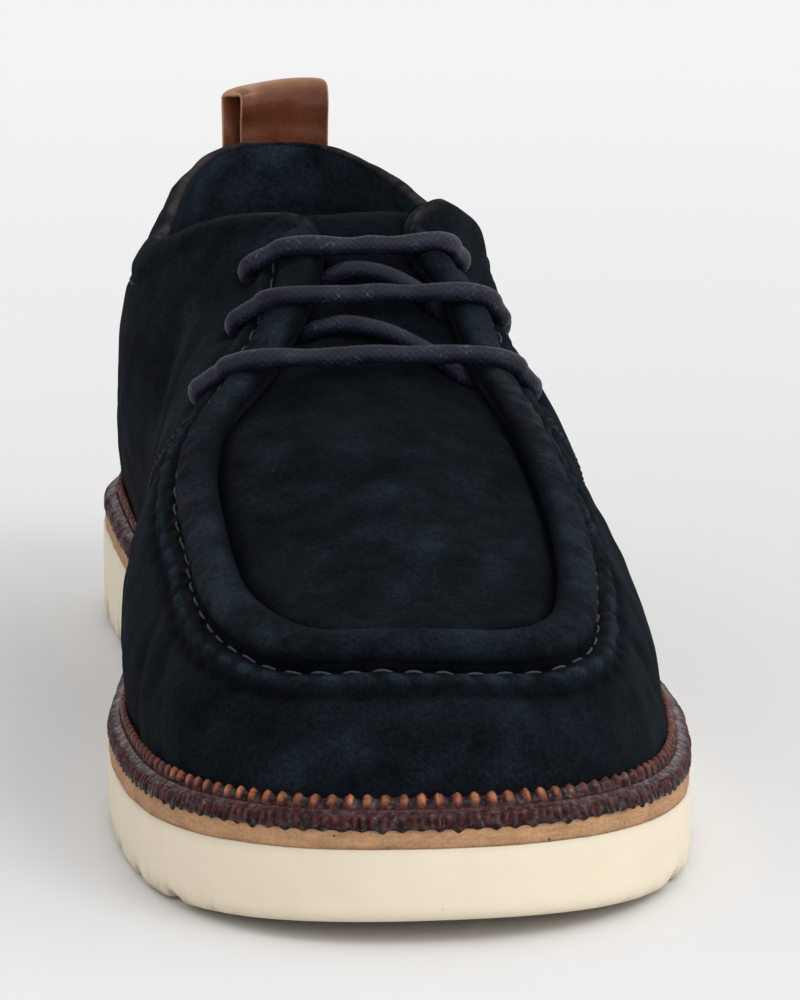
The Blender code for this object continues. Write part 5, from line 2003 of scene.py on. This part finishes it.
# painted shadow round the shoe: its middle, the distances over which it fades, and the floor's
# brightness there and beyond
FLOOR_SHADE_PLACE = (0.12, 0.12, 0.0)
FLOOR_SHADE_REACH = (0.05, 0.75)
FLOOR_SHADE = (0.86, 1.0)
CAMERA_PLACE = Vector((-0.188, -1.461, 0.370))
CAMERA_TARGET = Vector((0.008, -0.004, 0.049))
CAMERA_LENS = 279.0
KEY_PLACE = Vector((1.5, -1.5, 2.3))
KEY_SIZE = 1.4
KEY_POWER = 17.0
KEY_COLOUR = (1.0, 0.985, 0.96)
SKY_COLOUR = (0.985, 0.99, 1.0, 1.0)
SKY_BRIGHT_SIDE = (0.70, -0.30, 0.65)
SKY_STRENGTH = (0.42, 1.22)   # away from its bright side and towards it


def floor_material():
    """Pale matt paper with a barely visible drift in its tone, and painted shadow that darkens it
    near the shoe.
    """
    material, wiring, surface = start_material("floor_paper")
    patchy = patched(wiring, colour_of("floor"), (1.5, 0.02), (600.0, 0.02))
    inputs = {0: wiring.place(), 1: FLOOR_SHADE_PLACE}
    near = wiring.vector_math("DISTANCE", inputs)["Value"]
    shade = wiring.remap(near, *FLOOR_SHADE_REACH, *FLOOR_SHADE)
    set_surface(wiring, surface, {
        "Base Color": wiring.scale(patchy["Colour"], shade),
        "Roughness": 0.9,
        "Specular IOR Level": 0.1,
    })
    return material


def aim(thing, place, target):
    """Put a lamp or the camera in its place and turn it to a point."""
    thing.location = place
    thing.rotation_euler = (target - place).to_track_quat("-Z", "Y").to_euler()


def build_floor():
    """Round sheet of pale paper under the shoe."""
    angle = np.linspace(0, 2 * math.pi, 97)[:-1]
    rim = np.column_stack((np.cos(angle), np.sin(angle), 0 * angle)) * FLOOR_RADIUS
    mesh = bpy.data.meshes.new("floor")
    mesh.from_pydata(rim.tolist(), [], [tuple(range(len(rim)))])
    mesh.materials.append(floor_material())
    floor = bpy.data.objects.new("floor", mesh)
    bpy.context.scene.collection.objects.link(floor)


def build_light():
    """Large soft lamp on the right, and a sky that is brighter on that side."""
    scene = bpy.context.scene
    key = bpy.data.lights.new("key", "AREA")
    key.shape = "DISK"
    key.size = KEY_SIZE
    key.energy = KEY_POWER
    key.color = KEY_COLOUR
    lamp = bpy.data.objects.new("key", key)
    aim(lamp, KEY_PLACE, CAMERA_TARGET)
    scene.collection.objects.link(lamp)

    world = bpy.data.worlds.new("studio")
    world.use_nodes = True
    wiring = Wiring(world.node_tree)
    place = wiring.node("ShaderNodeTexCoord").outputs["Generated"]
    inputs = {0: place, 1: SKY_BRIGHT_SIDE}
    toward = wiring.vector_math("DOT_PRODUCT", inputs)["Value"]
    background = world.node_tree.nodes["Background"]
    background.inputs["Color"].default_value = SKY_COLOUR
    strength = wiring.remap(toward, -1.0, 1.0, *SKY_STRENGTH)
    world.node_tree.links.new(strength, background.inputs["Strength"])
    scene.world = world


def build_camera():
    """Camera with a long lens, low before the lateral side of the toe."""
    scene = bpy.context.scene
    camera = bpy.data.cameras.new("camera")
    camera.lens = CAMERA_LENS
    camera.sensor_width = 36.0
    camera.clip_end = 100.0
    eye = bpy.data.objects.new("camera", camera)
    aim(eye, CAMERA_PLACE, CAMERA_TARGET)
    scene.collection.objects.link(eye)
    scene.camera = eye
    scene.view_settings.view_transform = "Standard"


# ---------------------------------------------------------------- settings
def colour_property(label, description, default):
    """Property of one colour."""
    return bpy.props.FloatVectorProperty(
        name=label,
        description=description,
        subtype="COLOR",
        size=3,
        min=0.0,
        max=1.0,
        default=default,
    )


class DerbySizes(bpy.types.PropertyGroup):
    """Spacings that can be changed before the shoe is built."""

    apron_stitch_pitch: bpy.props.FloatProperty(
        name="Apron stitch pitch", description="Distance between the stitches round the apron",
        unit="LENGTH", default=0.0056, min=0.003, max=0.012, precision=4,
    )
    apron_stitch_length: bpy.props.FloatProperty(
        name="Apron stitch length", description="Visible length of a stitch round the apron",
        unit="LENGTH", default=0.0046, min=0.001, max=0.010, precision=4,
    )
    fine_stitch_pitch: bpy.props.FloatProperty(
        name="Fine stitch pitch", description="Distance between the dark stitches",
        unit="LENGTH", default=0.0030, min=0.0015, max=0.006, precision=4,
    )
    welt_teeth: bpy.props.IntProperty(
        name="Welt teeth", description="Number of teeth round the welt",
        default=214, min=60, max=300,
    )
    lace_strands: bpy.props.IntProperty(
        name="Lace strands", description="Strands of the lace's braid in each direction",
        default=8, min=4, max=12,
    )


class DerbyColours(bpy.types.PropertyGroup):
    """Colours of the materials."""

    suede: colour_property("Suede", "Napped leather of the upper", (0.0049, 0.0071, 0.0099))
    raw_edge: colour_property("Raw edge", "Cut edge of the suede", (0.050, 0.040, 0.038))
    lace: colour_property("Lace", "Waxed cord", (0.0095, 0.0125, 0.0240))
    thread: colour_property("Thread", "Stitches round the apron", (0.046, 0.047, 0.054))
    dark_thread: colour_property("Dark thread", "Stitches of the quarters", (0.009, 0.011, 0.017))
    welt: colour_property("Welt", "Body of the welt", (0.060, 0.0065, 0.0085))
    welt_tips: colour_property("Welt tips", "Rubbed tips of its teeth", (0.360, 0.118, 0.045))
    tan: colour_property("Tan sheet", "Band above the rubber", (0.50, 0.29, 0.15))
    tan_dark: colour_property("Tan streaks", "Darker streaks of the band", (0.37, 0.20, 0.105))
    cream: colour_property("Cream rubber", "Wedge outsole", (0.84, 0.74, 0.575))
    cream_stain: colour_property("Rubber stain", "Yellowed places", (0.74, 0.60, 0.40))
    strap: colour_property("Pull loop", "Face of the strap", (0.190, 0.058, 0.024))
    strap_dark: colour_property("Pull loop shade", "Darker places", (0.115, 0.034, 0.017))
    strap_edge: colour_property("Pull loop edge", "Cut edges of the strap", (0.42, 0.22, 0.12))
    footbed: colour_property("Footbed", "Woven cover of the footbed", (0.020, 0.024, 0.032))
    floor: colour_property("Floor", "Paper under the shoe", (0.86, 0.855, 0.85))


# ---------------------------------------------------------------- operators
class BuildStep(bpy.types.Operator):
    """Base of the operators: it runs its builders and checks that they made their pieces."""

    bl_options = {"REGISTER", "UNDO"}
    builders = ()

    def execute(self, context):
        """Run the builders of this step."""
        before = len(bpy.data.objects)
        for build in self.builders:
            build()
        if len(bpy.data.objects) < before + len(self.builders):
            raise RuntimeError(f"{self.bl_label}: a piece was not built")
        return {"FINISHED"}


class DERBY_OT_sole(BuildStep):
    """Build the cream outsole with its tread and the tan sheet above it"""

    bl_idname = "derby.build_sole"
    bl_label = "Build sole"
    builders = (build_outsole, build_midsole)


class DERBY_OT_welt(BuildStep):
    """Build the ribbed and toothed welt"""

    bl_idname = "derby.build_welt"
    bl_label = "Build welt"
    builders = (build_welt,)


class DERBY_OT_footbed(BuildStep):
    """Build the footbed"""

    bl_idname = "derby.build_footbed"
    bl_label = "Build footbed"
    builders = (build_footbed,)


class DERBY_OT_upper(BuildStep):
    """Build the wall of the upper with its seams, creases and collar"""

    bl_idname = "derby.build_upper"
    bl_label = "Build upper"
    builders = (build_upper,)


class DERBY_OT_apron(BuildStep):
    """Build the apron's roll, its plug and the tongue"""

    bl_idname = "derby.build_apron"
    bl_label = "Build apron"
    builders = (build_roll, build_plug)


class DERBY_OT_stitches(BuildStep):
    """Sew the apron, the quarters and the collar"""

    bl_idname = "derby.build_stitches"
    bl_label = "Build stitches"
    builders = (build_apron_stitches, build_fine_stitches)


class DERBY_OT_lace(BuildStep):
    """Run the lace through the eyelets"""

    bl_idname = "derby.build_lace"
    bl_label = "Build lace"
    builders = (build_lace,)


class DERBY_OT_pull_loop(BuildStep):
    """Build the pull loop and its stitches"""

    bl_idname = "derby.build_pull_loop"
    bl_label = "Build pull loop"
    builders = (build_pull_loop, build_loop_stitches)


class DERBY_OT_stage(BuildStep):
    """Set the floor, the light and the camera"""

    bl_idname = "derby.build_stage"
    bl_label = "Build stage"
    builders = (build_floor, build_light, build_camera)


class DERBY_PT_panel(bpy.types.Panel):
    """Settings and steps of the shoe."""

    bl_label = "Derby Shoe"
    bl_idname = "DERBY_PT_panel"
    bl_space_type = "VIEW_3D"
    bl_region_type = "UI"
    bl_category = "Derby Shoe"

    def draw(self, context):
        """List the settings and the steps."""
        sizes = self.layout.box()
        for name in DerbySizes.__annotations__:
            sizes.prop(context.scene.derby_sizes, name)
        colours = self.layout.box()
        for name in DerbyColours.__annotations__:
            colours.prop(context.scene.derby_colours, name)
        for step in STEPS:
            self.layout.operator(step.bl_idname)


STEPS = (
    DERBY_OT_sole,
    DERBY_OT_welt,
    DERBY_OT_footbed,
    DERBY_OT_upper,
    DERBY_OT_apron,
    DERBY_OT_stitches,
    DERBY_OT_lace,
    DERBY_OT_pull_loop,
    DERBY_OT_stage,
)
CLASSES = (DerbySizes, DerbyColours) + STEPS + (DERBY_PT_panel,)


def register():
    """Make the settings, the operators and the panel known to the program."""
    for cls in CLASSES:
        bpy.utils.register_class(cls)
    bpy.types.Scene.derby_sizes = bpy.props.PointerProperty(type=DerbySizes)
    bpy.types.Scene.derby_colours = bpy.props.PointerProperty(type=DerbyColours)


def unregister():
    """Take them away again."""
    del bpy.types.Scene.derby_sizes
    del bpy.types.Scene.derby_colours
    for cls in reversed(CLASSES):
        bpy.utils.unregister_class(cls)


def main():
    """Build the shoe and its stage."""
    register()
    bpy.ops.derby.build_sole()
    bpy.ops.derby.build_welt()
    bpy.ops.derby.build_footbed()
    bpy.ops.derby.build_upper()
    bpy.ops.derby.build_apron()
    bpy.ops.derby.build_stitches()
    bpy.ops.derby.build_lace()
    bpy.ops.derby.build_pull_loop()
    bpy.ops.derby.build_stage()


if __name__ == "__main__":
    main()
